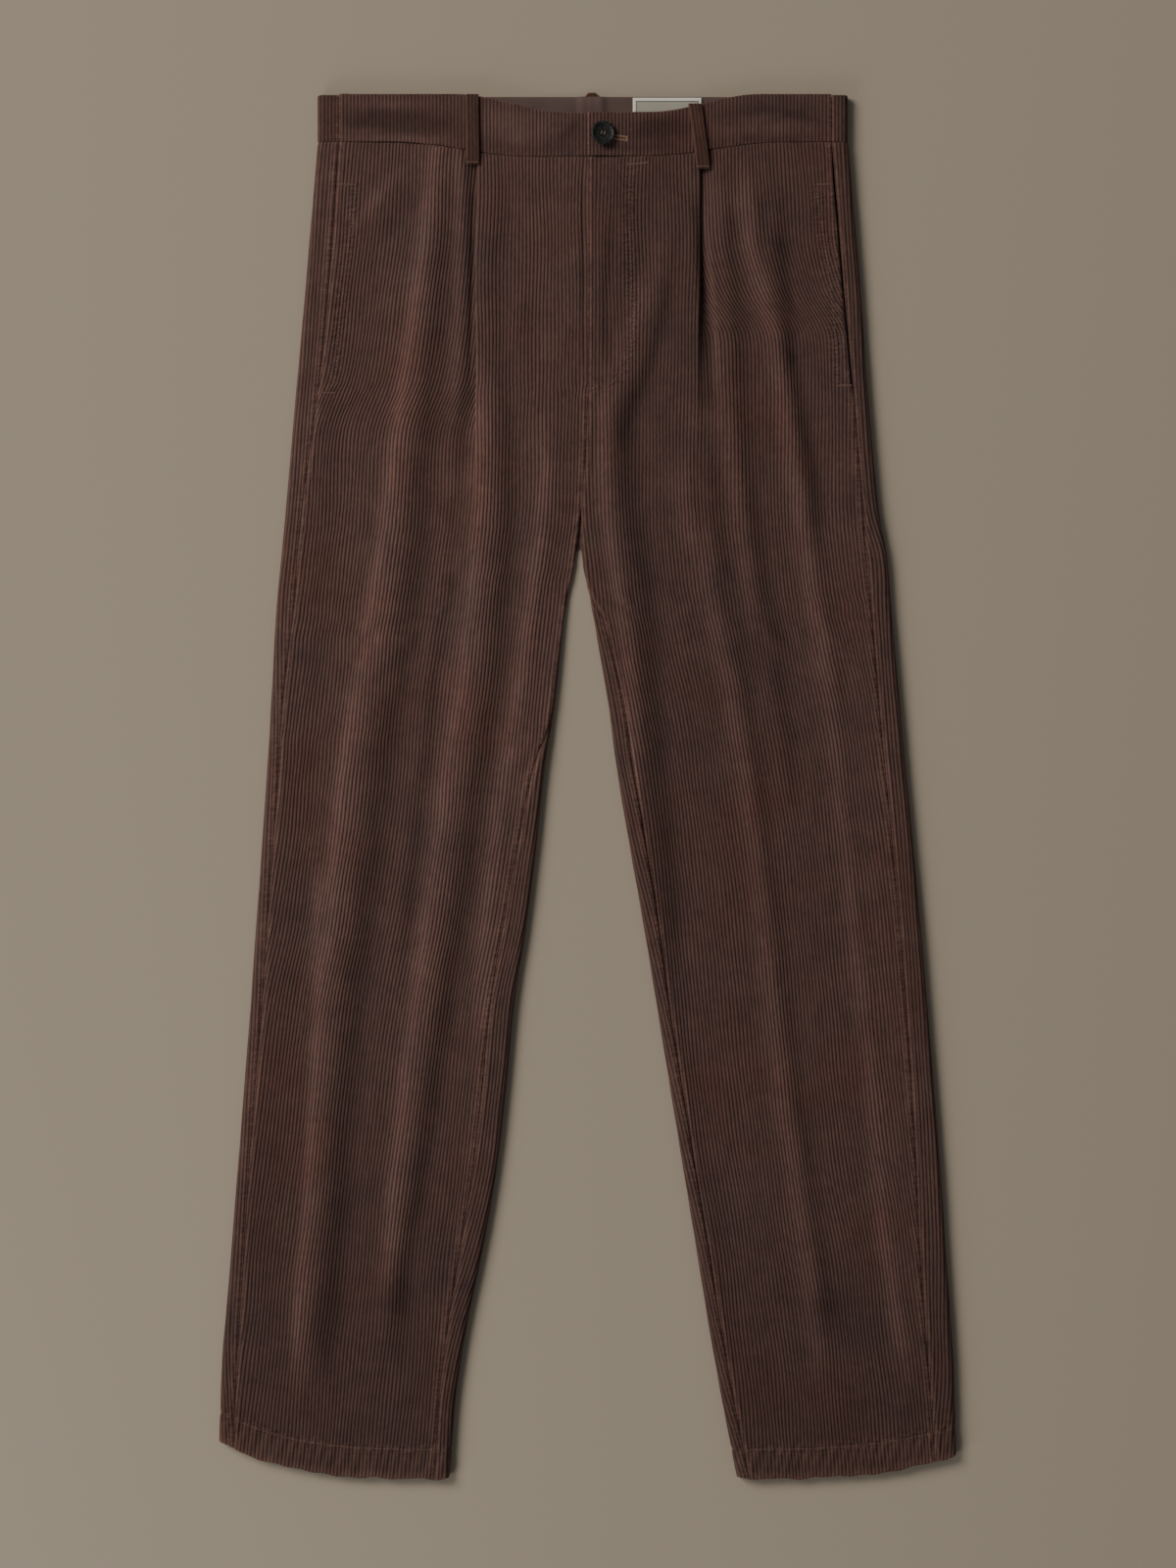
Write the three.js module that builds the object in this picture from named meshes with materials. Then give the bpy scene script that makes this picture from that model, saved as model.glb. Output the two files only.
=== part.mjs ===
// Corduroy trousers with one pleat in each front, laid flat on their back, front side up.
// Millimetres: +X is the wearer's left, +Y points to the waist and +Z is up from the surface they lie on.
// Each leg is worked out in its own coordinate q, the distance outwards from the middle of the garment,
// and "drop" is the distance down from the waist seam.
import * as THREE from 'three';

// Cloth and construction
const CLOTH = 1.5;
const BAND = 2.4;
const BAND_CLOTH = 1.6;
const FACING = 1.0;
const LABEL = 0.6;
const HEM_TURN_UP = 0.8;
const STITCH_GROOVE = 0.35;
const SEAM_GAP = 0.3;
const LOOP = { width: 10.5, thickness: 1.6 };
const BUTTON = { radius: 9.6, height: 3.6, dish: 0.9, rim: 1.9, x: 12.3, y: 508.8, lean: 12 };
const BUTTON_SEAT = BUTTON.radius * 0.62;

// Places
const ORIGIN = { x: -0.3, y: -1.3 };
const WAIST_Y = 497;
const WAIST_SEAM = { sideLift: 6.2, dip: 11.2, dipInner: 46, dipOuter: 154, fade: 120 };
const FRONT_TOP = { y: 540.9, dip: 14.6, centre: 16, dipInner: 31, dipOuter: 120 };
const BACK_TOP_Y = 540;
const FLY = { lap: 14, bandLap: 40, lift: CLOTH + SEAM_GAP, endDrop: 182, mergeDrop: 205, blend: 35 };
const BAND_LAP_BLEND = 36;
const BAND_TOP = 10;
const BAND_BULGE = 0.4;
const HEM = { drop: 1041, depth: 23, fadeStart: 880 };
const POCKET = { top: 35, bottom: 182, gape: 1.0, facing: 1.0 };
const REAR_LOOPS = {
  loop_side_right: { x: -189.4, length: 38.5 },
  loop_centre_back: { x: 3.9, length: 40.4 },
  loop_side_left: { x: 172, length: 36.8 },
};
const REAR_BUMP = { flat: 6.6, ramp: 6.4, lift: LOOP.thickness + SEAM_GAP };
const ROLL_LENGTH = { outer: 32, inner: 30 };
const PLEAT_REACH = 50;
const PLEAT_TROUGH = 13;
const LEAST_GAP = 0.4;

// Rows down a leg, by drop: close at the fly end, the crotch and the hem, wide along the leg
const ROWS = [
  0, 35, 70, 110, 150, 182, 191, 205, 220, 238, 260, 281, 292, 304, 312, 318, 326, 336, 348, 366, 400,
  440, 457, 475, 540, 605, 670, 735, 800, 865, 925, 980, 1014, 1018, 1022, HEM.drop,
];

// Heights of the outer surface over the floor, by drop
const HEIGHTS = {
  columns: ['drop', 'side', 'centre', 'base', 'pleat'],
  rows: [
    [0, 10.0, 9.6, 9.5, 9.9],
    [70, 9.3, 7.8, 7.6, 9.4],
    [150, 9.0, 6.6, 6.6, 8.8],
    [205, 9.0, 5.4, 6.2, 8.2],
    [260, 9.0, 4.2, 6.0, 7.6],
    [281, 9.0, 3.7, 6.0, 7.4],
    [318, 9.0, 3.7, 6.0, 7.0],
    [348, 9.0, 4.2, 6.0, 6.7],
    [400, 9.0, 6.4, 6.0, 6.2],
    [475, 9.0, 8.6, 6.0, 6.0],
    [865, 9.0, 9.0, 6.3, 6.3],
    [980, 9.0, 9.0, 8.9, 8.9],
    [HEM.drop, 9.0, 9.0, 9.0, 9.0],
  ],
};

// The pleat's fold, by drop: how far it turns, the radius of its turns and how deep its layers lap
const PLEAT = {
  columns: ['drop', 'turn', 'radius', 'lap'],
  rows: [
    [0, 180, 1.05, 15],
    [70, 180, 1.05, 13],
    [150, 180, 1.05, 8],
    [182, 178, 1.05, 5],
    [205, 150, 1.05, 1.6],
    [220, 110, 1.1, 0.9],
    [238, 70, 1.5, 0.9],
    [260, 40, 3, 1.2],
    [281, 20, 6, 2],
    [318, 8, 14, 4],
    [366, 0, 20, 8],
  ],
};

// Middle line of the garment, where the centre seams run, by drop
const CENTRE = {
  columns: ['drop', 'x'],
  rows: [[0, 0.5], [189, 0.5], [242, -1.5], [281, -4.7], [318, -6.4]],
};

// Outline of each leg: rolled outer edge, outside seam, pleat line, inner edge and the inside seam's inset
const OUTLINE_COLUMNS = ['drop', 'edge', 'seam', 'grain', 'inner', 'inset'];

// How far the front and the back turn round the inner edge, in degrees, by drop
const TURN_COLUMNS = ['drop', 'front', 'back'];
const CROTCH = { top: 281, split: 318, radius: 1.05 };

const LEGS = {
  left: {
    side: 1,
    hemLift: 18,
    hemPower: 3,
    outline: {
      columns: OUTLINE_COLUMNS,
      rows: [
        [0, 204.5, 191.5, 88, 1, 0],
        [111.5, 214.5, 201.5, 88, 1, 0],
        [188.5, 220, 208.5, 88, 1, 0],
        [281, 228.5, 216, 88.5, -4.5, 0],
        [318, 235, 218.5, 91.5, -4, 0],
        [359.5, 238.5, 222.5, 97, 4, 6.2],
        [432, 245, 228.5, 111.5, 16.5, 12.3],
        [499, 251, 235, 123, 25.5, 12.3],
        [574.5, 258.5, 242, 133, 39, 12.3],
        [674, 267, 250, 143, 55.5, 9.2],
        [776, 275.5, 256.5, 154, 72, 9],
        [858.5, 281, 260.5, 168, 85.5, 9],
        [955.5, 287, 267, 180, 101.5, 9],
        [HEM.drop, 289, 272.5, 187, 118, 9],
      ],
    },
    turns: {
      columns: TURN_COLUMNS,
      rows: [[281, 0, 0], [292, 50, 0], [304, 90, 0], [318, 90, 0], [326, 170, 10], [336, 135, 45],
        [348, 90, 90], [366, 0, 180]],
    },
    folds: [
      { height: 1.6, outer: 9, inner: 10, path: [[273, 78], [335, 95], [404, 112], [466, 123], [589, 139],
        [712, 152], [774, 160.5], [835, 171], [897, 178], [950, 184]] },
      { height: -0.8, outer: 8, inner: 8, path: [[335, 116], [404, 124], [466, 134], [589, 151],
        [712, 166], [774, 173], [835, 184], [897, 190]] },
      { height: 1.5, outer: 9, inner: 8, path: [[50, 104], [127, 106], [219, 113.5], [273, 119],
        [335, 128]] },
      { height: -1.2, outer: 8, inner: 8, path: [[81, 117], [127, 121], [219, 126], [273, 132],
        [335, 141], [404, 152], [466, 162]] },
      { height: 2.5, outer: 9, inner: 10, path: [[60, 126], [127, 145], [173, 153], [273, 168], [404, 188]] },
      { height: 1.5, outer: 9, inner: 8, path: [[464, 196], [527, 203], [651, 216], [774, 229.5], [835, 233],
        [897, 240], [959, 250]] },
      { height: -1.8, outer: 7, inner: 7, path: [[81, 155], [127, 159], [173, 164.5], [219, 172],
        [273, 182]] },
      { height: 2.2, outer: 10, inner: 6, path: [[219, 12], [273, 14.5], [335, 24], [404, 33],
        [466, 38]] },
      { height: -1.8, outer: 10, inner: 10, path: [[219, 34], [273, 36], [335, 48], [404, 53], [466, 58],
        [589, 70]] },
    ],
  },
  right: {
    side: -1,
    hemLift: 29,
    hemPower: 3.3,
    outline: {
      columns: OUTLINE_COLUMNS,
      rows: [
        [0, 211, 194.5, 86, -1, 0],
        [111.5, 221, 203, 86.5, -1, 0],
        [188.5, 228, 211, 86.5, -1, 0],
        [281, 236, 223.5, 88, 5, 0],
        [318, 239.5, 227, 92, 9, 0],
        [359.5, 243.5, 230, 97, 17, 0],
        [432, 247.5, 238.5, 105.5, 25.5, 3],
        [499, 251.5, 242.5, 112, 35.5, 10],
        [574.5, 257, 248.5, 121.5, 43, 17.7],
        [674, 264, 255, 140, 58, 18.5],
        [776, 272, 263.5, 152.5, 68, 18.5],
        [858.5, 278.5, 268.5, 162.5, 81.5, 17.7],
        [955.5, 285.5, 274, 171, 100.5, 13.1],
        [HEM.drop, 288, 277, 178.5, 108.5, 11.6],
      ],
    },
    turns: {
      columns: TURN_COLUMNS,
      rows: [[281, 0, 0], [292, 50, 0], [304, 90, 0], [318, 90, 0], [326, 170, 10], [336, 135, 45],
        [348, 90, 90], [440, 60, 120], [457, 30, 150], [475, 0, 180]],
    },
    folds: [
      { height: 3.4, outer: 8, inner: 16, path: [[19, 116], [81, 126], [127, 132], [219, 145],
        [335, 161.5], [404, 173], [466, 185], [527, 192], [589, 196]] },
      { height: 2.7, outer: 6, inner: 16, path: [[600, 209], [651, 208], [712, 210], [774, 213.5],
        [835, 217.5], [897, 223], [959, 225.5]] },
      { height: -2, outer: 12, inner: 12, path: [[35, 108], [127, 114], [219, 122.5], [335, 132],
        [404, 144], [466, 154], [589, 169], [712, 183.5], [835, 193], [959, 204]] },
      { height: 3, outer: 8, inner: 14, path: [[212, 80.5], [273, 81.5], [335, 86], [404, 94], [466, 103],
        [589, 120], [712, 137], [774, 144], [850, 152]] },
      { height: -1, outer: 9, inner: 9, path: [[50, 64], [100, 69], [173, 64], [219, 60]] },
      { height: -1.8, outer: 9, inner: 9, path: [[273, 58], [335, 61.5], [404, 67.5], [466, 77],
        [589, 95], [712, 114], [835, 133], [897, 145]] },
      { height: -1.1, outer: 6, inner: 6, path: [[219, 97], [273, 97], [335, 105], [404, 116], [466, 122],
        [589, 138]] },
      { height: 2.2, outer: 7, inner: 10, path: [[258, 31], [335, 38.5], [404, 49], [466, 58], [527, 67],
        [589, 75], [651, 81]] },
      { height: 1.2, outer: 5, inner: 6, path: [[20, 98], [112, 99.5], [170, 102]] },
    ],
  },
};
const FOLD_FADE = 60;

// Finishes seen in the photograph
const CORDUROY = new THREE.MeshStandardMaterial({ color: 0x4c342f, roughness: 0.95, metalness: 0 });
const TWILL = new THREE.MeshStandardMaterial({ color: 0x5b4542, roughness: 0.85, metalness: 0 });
const LABEL_CLOTH = new THREE.MeshStandardMaterial({ color: 0x9a9a8e, roughness: 0.8, metalness: 0 });
const HORN = new THREE.MeshStandardMaterial({ color: 0x1d1b1a, roughness: 0.45, metalness: 0 });

const radians = THREE.MathUtils.degToRad;

// 0 below a, 1 above b, smooth between
function smooth(a, b, x) {
  return THREE.MathUtils.smoothstep(x, a, b);
}

// 1 at 0, 0 from distance 1 on, flat at both ends
function falloff(t) {
  return 1 - smooth(0, 1, Math.abs(t));
}

// A table's column at a drop, straight between rows
function lookUp(table, name, drop) {
  const column = table.columns.indexOf(name);
  const rows = table.rows;
  if (drop <= rows[0][0]) return rows[0][column];
  for (let i = 1; i < rows.length; i += 1) {
    if (drop <= rows[i][0]) {
      const t = (drop - rows[i - 1][0]) / (rows[i][0] - rows[i - 1][0]);
      return THREE.MathUtils.lerp(rows[i - 1][column], rows[i][column], t);
    }
  }
  return rows[rows.length - 1][column];
}

// A table's column at a drop on a smooth curve through the rows (cubic Hermite, slopes from the neighbours)
function lookUpSmooth(table, name, drop) {
  const column = table.columns.indexOf(name);
  const rows = table.rows;
  const last = rows.length - 1;
  const at = Math.min(Math.max(drop, rows[0][0]), rows[last][0]);
  let i = 0;
  while (i < last - 1 && at > rows[i + 1][0]) i += 1;
  const slope = (k) => {
    const before = rows[Math.max(k - 1, 0)];
    const after = rows[Math.min(k + 1, last)];
    return (after[column] - before[column]) / (after[0] - before[0]);
  };
  const span = rows[i + 1][0] - rows[i][0];
  const t = (at - rows[i][0]) / span;
  const t2 = t * t;
  const t3 = t2 * t;
  return (2 * t3 - 3 * t2 + 1) * rows[i][column] + (t3 - 2 * t2 + t) * span * slope(i)
    + (3 * t2 - 2 * t3) * rows[i + 1][column] + (t3 - t2) * span * slope(i + 1);
}

// Everything that a leg's cross-section needs at one drop
function station(leg, drop) {
  const centreQ = leg.side * lookUpSmooth(CENTRE, 'x', drop);
  const opening = smooth(CROTCH.top, CROTCH.split, drop);
  const innerQ = THREE.MathUtils.lerp(centreQ, lookUpSmooth(leg.outline, 'inner', drop), opening);
  const centreHeight = lookUp(HEIGHTS, 'centre', drop);
  const turn = radians(lookUp(PLEAT, 'turn', drop));
  const radius = lookUp(PLEAT, 'radius', drop);
  const lap = lookUp(PLEAT, 'lap', drop);
  return {
    drop,
    centreQ,
    innerQ,
    edge: lookUpSmooth(leg.outline, 'edge', drop),
    seam: lookUpSmooth(leg.outline, 'seam', drop),
    grain: lookUpSmooth(leg.outline, 'grain', drop),
    inset: lookUp(leg.outline, 'inset', drop),
    sideMid: lookUp(HEIGHTS, 'side', drop) - CLOTH / 2,
    centreMid: centreHeight - CLOTH / 2,
    baseMid: lookUp(HEIGHTS, 'base', drop) - CLOTH / 2,
    pleatMid: lookUp(HEIGHTS, 'pleat', drop) - CLOTH / 2,
    innerRadius: drop <= CROTCH.split ? CROTCH.radius : (centreHeight - CLOTH) / 2,
    frontTurn: radians(lookUp(leg.turns, 'front', drop)),
    backTurn: radians(lookUp(leg.turns, 'back', drop)),
    turn,
    radius,
    lap,
    step: 2 * radius * (1 - Math.cos(turn)) + lap * Math.sin(turn),
    flyLift: leg.side > 0 ? FLY.lift * (1 - smooth(191, FLY.mergeDrop, drop)) : 0,
  };
}

// Height of the soft lengthwise folds at a place: each is a rounded ridge or trough along its path, with a
// width on either side of it
function foldHeight(leg, drop, q) {
  let height = 0;
  for (const fold of leg.folds) {
    const path = { columns: ['drop', 'q'], rows: fold.path };
    const start = fold.path[0][0];
    const end = fold.path[fold.path.length - 1][0];
    const strength = smooth(start - FOLD_FADE, start, drop) * (1 - smooth(end, end + FOLD_FADE, drop));
    const distance = q - lookUpSmooth(path, 'q', drop);
    const away = distance / (distance > 0 ? fold.outer : fold.inner);
    height += fold.height * strength * Math.exp(-away * away);
  }
  return height * (1 - smooth(925, 1000, drop));
}

// Height of the front's middle surface; part is "centre" or "side" of the pleat
function frontHeight(leg, at, q, part) {
  const start = part === 'side' ? at.pleatMid - at.step : at.pleatMid;
  const levelReach = part === 'side' ? PLEAT_TROUGH : PLEAT_REACH;
  const level = at.baseMid + (start - at.baseMid) * falloff((q - at.grain) / levelReach);
  const flat = at.flyLift > 0 ? FLY.lap + 2 : 0;
  const reach = at.flyLift > 0 ? FLY.blend : ROLL_LENGTH.inner;
  const inner = q < at.innerQ + flat ? 1 : falloff((q - at.innerQ - flat) / reach);
  const outer = falloff((at.seam - q) / ROLL_LENGTH.outer);
  const underBand = (frontBandTop(leg, q) - BAND_TOP) * (1 - smooth(0, 45, at.drop)) * (1 - inner);
  const height = level + (at.centreMid + at.flyLift - level) * inner + (at.sideMid - level) * outer
    + foldHeight(leg, at.drop, q) * (1 - inner) * (1 - outer) + underBand;
  return Math.max(height, 1.5 * CLOTH + LEAST_GAP);
}

// Lift of a row at its side above its nominal drop: the curved waist seam and the sloping hem
function rowLift(leg, at, q, isFront) {
  const middle = isFront ? 1 - smooth(WAIST_SEAM.dipInner, WAIST_SEAM.dipOuter, Math.abs(q)) : 0;
  const waist = (WAIST_SEAM.sideLift - WAIST_SEAM.dip * middle) * (1 - smooth(0, WAIST_SEAM.fade, at.drop));
  const across = THREE.MathUtils.clamp((q - at.innerQ) / (at.edge - at.innerQ), 0, 1);
  const hem = leg.hemLift * across ** leg.hemPower * smooth(HEM.fadeStart, HEM.drop - HEM.depth, at.drop);
  return waist + hem;
}

// A row of section points becomes a row of places, with how far the wall stands out and in from its middle
function placeRow(leg, at, section, isFront) {
  const hemStart = HEM.drop - HEM.depth;
  const inHem = at.drop > hemStart;
  const groove = Math.abs(at.drop - hemStart) < 0.1 ? STITCH_GROOVE : 0;
  const points = section.map((p) => ({
    x: leg.side * p.q,
    y: WAIST_Y - at.drop + rowLift(leg, at, p.q, isFront),
    z: p.z,
    nx: p.nq === undefined ? undefined : leg.side * p.nq,
    nz: p.nz,
  }));
  return { points, out: CLOTH / 2 - groove, in: CLOTH / 2 + (inHem ? HEM_TURN_UP : 0), side: leg.side };
}

// The front's cross-section from its inner seam to its outside seam, with the pleat's layers between
function frontSection(leg, at) {
  const section = [];
  const innerSteps = 4;
  const turned = at.frontTurn > 0.01;
  if (turned) {
    const centre = { q: at.innerQ + CLOTH / 2 + at.innerRadius, z: at.centreMid - at.innerRadius };
    const end = at.frontTurn - SEAM_GAP / 2 / at.innerRadius;
    for (let i = 0; i <= innerSteps; i += 1) {
      const angle = end * (1 - i / innerSteps);
      section.push({
        q: centre.q - at.innerRadius * Math.sin(angle),
        z: centre.z + at.innerRadius * Math.cos(angle),
        nq: -Math.sin(angle),
        nz: Math.cos(angle),
      });
    }
  } else {
    const lapped = leg.side < 0 && at.drop <= FLY.endDrop;
    const end = at.innerQ + at.inset + (lapped ? -FLY.lap : SEAM_GAP / 2);
    const stepLength = lapped ? FLY.lap / innerSteps : 3;
    for (let i = 0; i <= innerSteps; i += 1) {
      const q = end + i * stepLength;
      section.push({ q, z: frontHeight(leg, at, q, 'centre'), nq: i === 0 ? 0 : undefined, nz: 1 });
    }
  }

  const even = smooth(330, 430, at.drop);
  const first = section[section.length - 1].q;
  const last = at.seam - SEAM_GAP / 2 - POCKET.gape * pocketShare(at.drop);
  const counts = { centre: 7, turn: 4, side: 9 };
  const total = counts.centre + 2 * counts.turn + 1 + counts.side;
  const evenly = (q, k) => THREE.MathUtils.lerp(q, THREE.MathUtils.lerp(first, last, k / total), even);
  const foldStart = at.grain - at.radius * (at.turn > Math.PI / 2 ? 1 : Math.sin(at.turn));
  let k = 0;
  for (let i = 1; i <= counts.centre; i += 1) {
    k += 1;
    const q = evenly(THREE.MathUtils.lerp(first, foldStart, i / counts.centre), k);
    section.push({ q, z: frontHeight(leg, at, q, 'centre') });
  }

  // the pleat: down round the first turn, back under the top layer, and down round the second turn
  const top = section[section.length - 1].z;
  const pleat = [];
  for (let i = 1; i <= counts.turn; i += 1) {
    const angle = at.turn * i / counts.turn;
    pleat.push({ dq: at.radius * Math.sin(angle), dz: at.radius * (1 - Math.cos(angle)), angle });
  }
  const turnEnd = pleat[pleat.length - 1];
  const lapEnd = { dq: turnEnd.dq + at.lap * Math.cos(at.turn), dz: turnEnd.dz + at.lap * Math.sin(at.turn) };
  for (let i = 0; i <= counts.turn; i += 1) {
    const angle = at.turn * (1 - i / counts.turn);
    pleat.push({
      dq: lapEnd.dq + at.radius * (Math.sin(at.turn) - Math.sin(angle)),
      dz: lapEnd.dz + at.radius * (Math.cos(angle) - Math.cos(at.turn)),
      angle,
    });
  }
  for (const p of pleat) {
    k += 1;
    const q = evenly(foldStart + p.dq, k);
    section.push({
      q,
      z: even > 0 ? frontHeight(leg, at, q, 'side') : top - p.dz,
      nq: even > 0 ? undefined : Math.sin(p.angle),
      nz: Math.cos(p.angle),
    });
  }

  const pleatEnd = section[section.length - 1];
  const miss = even > 0 ? 0 : pleatEnd.z - frontHeight(leg, at, pleatEnd.q, 'side');
  const sideStart = foldStart + pleat[pleat.length - 1].dq;
  for (let i = 1; i <= counts.side; i += 1) {
    k += 1;
    const q = evenly(THREE.MathUtils.lerp(sideStart, last, i / counts.side), k);
    const isSeam = i === counts.side;
    const z = frontHeight(leg, at, q, 'side') + miss * falloff((q - pleatEnd.q) / PLEAT_TROUGH);
    section.push({ q, z: isSeam ? at.sideMid : z, nq: isSeam ? 0 : undefined, nz: 1 });
  }
  return section;
}

// 1 along the pocket mouth, 0 beyond its bar tacks
function pocketShare(drop) {
  return drop >= POCKET.top && drop <= POCKET.bottom ? 1 : 0;
}

// The roll over an outer edge, from the outside seam on top round to the floor
function outerRoll(edge, seam, height, wall, steps) {
  const radius = (height - wall) / 2;
  const centre = { q: edge - wall / 2 - radius, z: wall / 2 + radius };
  const points = [{ q: seam + SEAM_GAP / 2, z: centre.z + radius, nq: 0, nz: 1 }];
  for (let i = 0; i <= steps; i += 1) {
    const angle = Math.PI * i / steps;
    points.push({
      q: centre.q + radius * Math.sin(angle),
      z: centre.z + radius * Math.cos(angle),
      nq: Math.sin(angle),
      nz: Math.cos(angle),
    });
  }
  return points;
}

// The back's cross-section: outside seam, round the outer edge, along the floor and up to the inside seam
function backSection(leg, at) {
  const rollSteps = 5;
  const section = outerRoll(at.edge, at.seam, at.sideMid + CLOTH / 2, CLOTH, rollSteps);
  const outerFloor = section[section.length - 1].q;
  const radius = at.innerRadius;
  const centreQ = at.innerQ + CLOTH / 2 + radius;
  const turned = at.drop > CROTCH.split;
  const innerSteps = rollSteps + 1;
  let innerStart = at.centreQ + SEAM_GAP / 2 + 20;
  if (turned) innerStart = centreQ;
  if (at.drop === CROTCH.split) innerStart = centreQ + 8;
  for (let i = 1; i <= 3; i += 1) {
    section.push({ q: THREE.MathUtils.lerp(outerFloor, innerStart, i / 3), z: CLOTH / 2, nq: 0, nz: -1 });
  }
  if (!turned) {
    const end = at.drop === CROTCH.split ? centreQ + SEAM_GAP : at.centreQ + SEAM_GAP / 2;
    for (let i = 1; i <= innerSteps; i += 1) {
      section.push({ q: THREE.MathUtils.lerp(innerStart, end, i / innerSteps), z: CLOTH / 2, nq: 0, nz: -1 });
    }
    return section;
  }
  const onTop = at.backTurn > Math.PI - 0.01;
  const arcSteps = onTop ? rollSteps : innerSteps;
  const arcEnd = onTop ? Math.PI : at.backTurn - SEAM_GAP / 2 / radius;
  for (let i = 1; i <= arcSteps; i += 1) {
    const angle = arcEnd * i / arcSteps;
    section.push({
      q: centreQ - radius * Math.sin(angle),
      z: CLOTH / 2 + radius * (1 - Math.cos(angle)),
      nq: -Math.sin(angle),
      nz: -Math.cos(angle),
    });
  }
  if (onTop) {
    const q = at.innerQ + at.inset - SEAM_GAP / 2;
    section.push({ q, z: CLOTH / 2 + 2 * radius, nq: 0, nz: 1 });
  }
  return section;
}

// Outward direction of a row's wall at a point, square to the row in the X-Z plane
function wallNormal(row, i) {
  const p = row.points[i];
  if (p.nx !== undefined) return { x: p.nx, z: p.nz };
  const a = row.points[Math.max(i - 1, 0)];
  const b = row.points[Math.min(i + 1, row.points.length - 1)];
  const length = Math.hypot(b.x - a.x, b.z - a.z);
  return { x: -row.side * (b.z - a.z) / length, z: row.side * (b.x - a.x) / length };
}

// A closed wall of cloth: an outer and an inner grid of points, joined round the rim
function wallGeometry(rows) {
  const count = rows[0].points.length;
  const positions = [];
  for (const face of ['out', 'in']) {
    for (const row of rows) {
      for (let i = 0; i < count; i += 1) {
        const n = wallNormal(row, i);
        const distance = face === 'out' ? row.out : -row.in;
        const p = row.points[i];
        positions.push(p.x + n.x * distance, p.y, p.z + n.z * distance);
      }
    }
  }
  const index = [];
  const quad = (a, b, c, d) => index.push(a, b, c, a, c, d);
  const outer = (j, i) => j * count + i;
  const inner = (j, i) => (rows.length + j) * count + i;
  for (let j = 0; j < rows.length - 1; j += 1) {
    for (let i = 0; i < count - 1; i += 1) {
      quad(outer(j, i), outer(j + 1, i), outer(j + 1, i + 1), outer(j, i + 1));
      quad(inner(j, i), inner(j, i + 1), inner(j + 1, i + 1), inner(j + 1, i));
    }
    quad(outer(j, 0), inner(j, 0), inner(j + 1, 0), outer(j + 1, 0));
    const e = count - 1;
    quad(outer(j, e), outer(j + 1, e), inner(j + 1, e), inner(j, e));
  }
  const last = rows.length - 1;
  for (let i = 0; i < count - 1; i += 1) {
    quad(outer(0, i), outer(0, i + 1), inner(0, i + 1), inner(0, i));
    quad(outer(last, i), inner(last, i), inner(last, i + 1), outer(last, i + 1));
  }
  return closedGeometry(positions, index);
}

// Turns the faces outwards if the solid's signed volume is negative
function closedGeometry(positions, index) {
  let volume = 0;
  const corner = (k) => new THREE.Vector3().fromArray(positions, 3 * index[k]);
  for (let k = 0; k < index.length; k += 3) {
    volume += corner(k).dot(corner(k + 1).cross(corner(k + 2)));
  }
  if (volume < 0) {
    for (let k = 0; k < index.length; k += 3) {
      [index[k + 1], index[k + 2]] = [index[k + 2], index[k + 1]];
    }
  }
  const geometry = new THREE.BufferGeometry();
  geometry.setAttribute('position', new THREE.Float32BufferAttribute(positions, 3));
  geometry.setIndex(index);
  geometry.computeVertexNormals();
  return geometry;
}

const garment = new THREE.Group();
garment.position.set(ORIGIN.x, ORIGIN.y, 0);

function addPiece(name, geometry, material) {
  const mesh = new THREE.Mesh(geometry, material);
  mesh.name = name;
  garment.add(mesh);
  return mesh;
}

// Legs: a front and a back each, and the facing seen in the pocket mouth
function frontRows(leg) {
  return ROWS.map((drop) => {
    const at = station(leg, drop);
    return placeRow(leg, at, frontSection(leg, at), true);
  });
}

function backRows(leg) {
  return ROWS.map((drop) => {
    const at = station(leg, drop);
    return placeRow(leg, at, backSection(leg, at), false);
  });
}

// The facing repeats the front's last points along the mouth, moved in under its cloth
function pocketFacingRows(rows) {
  const inward = CLOTH / 2 + SEAM_GAP + POCKET.facing / 2;
  const mouth = rows.filter((row, j) => pocketShare(ROWS[j]) > 0);
  return mouth.map((row) => {
    const firstIndex = row.points.length - 3;
    const points = [0, 1, 2].map((i) => {
      const p = row.points[firstIndex + i];
      const n = wallNormal(row, firstIndex + i);
      const reach = i === 2 ? row.side * POCKET.gape * 0.8 : 0;
      return { x: p.x - n.x * inward + reach, y: p.y, z: p.z - n.z * inward, nx: n.x, nz: n.z };
    });
    return { points, out: POCKET.facing / 2, in: POCKET.facing / 2, side: row.side };
  });
}

for (const name of ['left', 'right']) {
  const leg = LEGS[name];
  const front = frontRows(leg);
  addPiece(`front_panel_${name}`, wallGeometry(front), CORDUROY);
  addPiece(`back_panel_${name}`, wallGeometry(backRows(leg)), CORDUROY);
  addPiece(`pocket_facing_${name}`, wallGeometry(pocketFacingRows(front)), TWILL);
}

// Waistband: two fronts that lap at the middle, and a back that rolls round both sides
function waistSeamY(x) {
  const dip = 1 - smooth(WAIST_SEAM.dipInner, WAIST_SEAM.dipOuter, Math.abs(x));
  return WAIST_Y + WAIST_SEAM.sideLift - WAIST_SEAM.dip * dip;
}

function frontTopY(x) {
  const dip = 1 - smooth(FRONT_TOP.dipInner, FRONT_TOP.dipOuter, Math.abs(x - FRONT_TOP.centre));
  return FRONT_TOP.y - FRONT_TOP.dip * dip;
}

function frontBandTop(leg, q) {
  const over = leg.side > 0 ? falloff(Math.max(q - FLY.bandLap - 3, 0) / BAND_LAP_BLEND) : 0;
  return BAND_TOP + over * (BAND + SEAM_GAP + BAND_BULGE);
}

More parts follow.
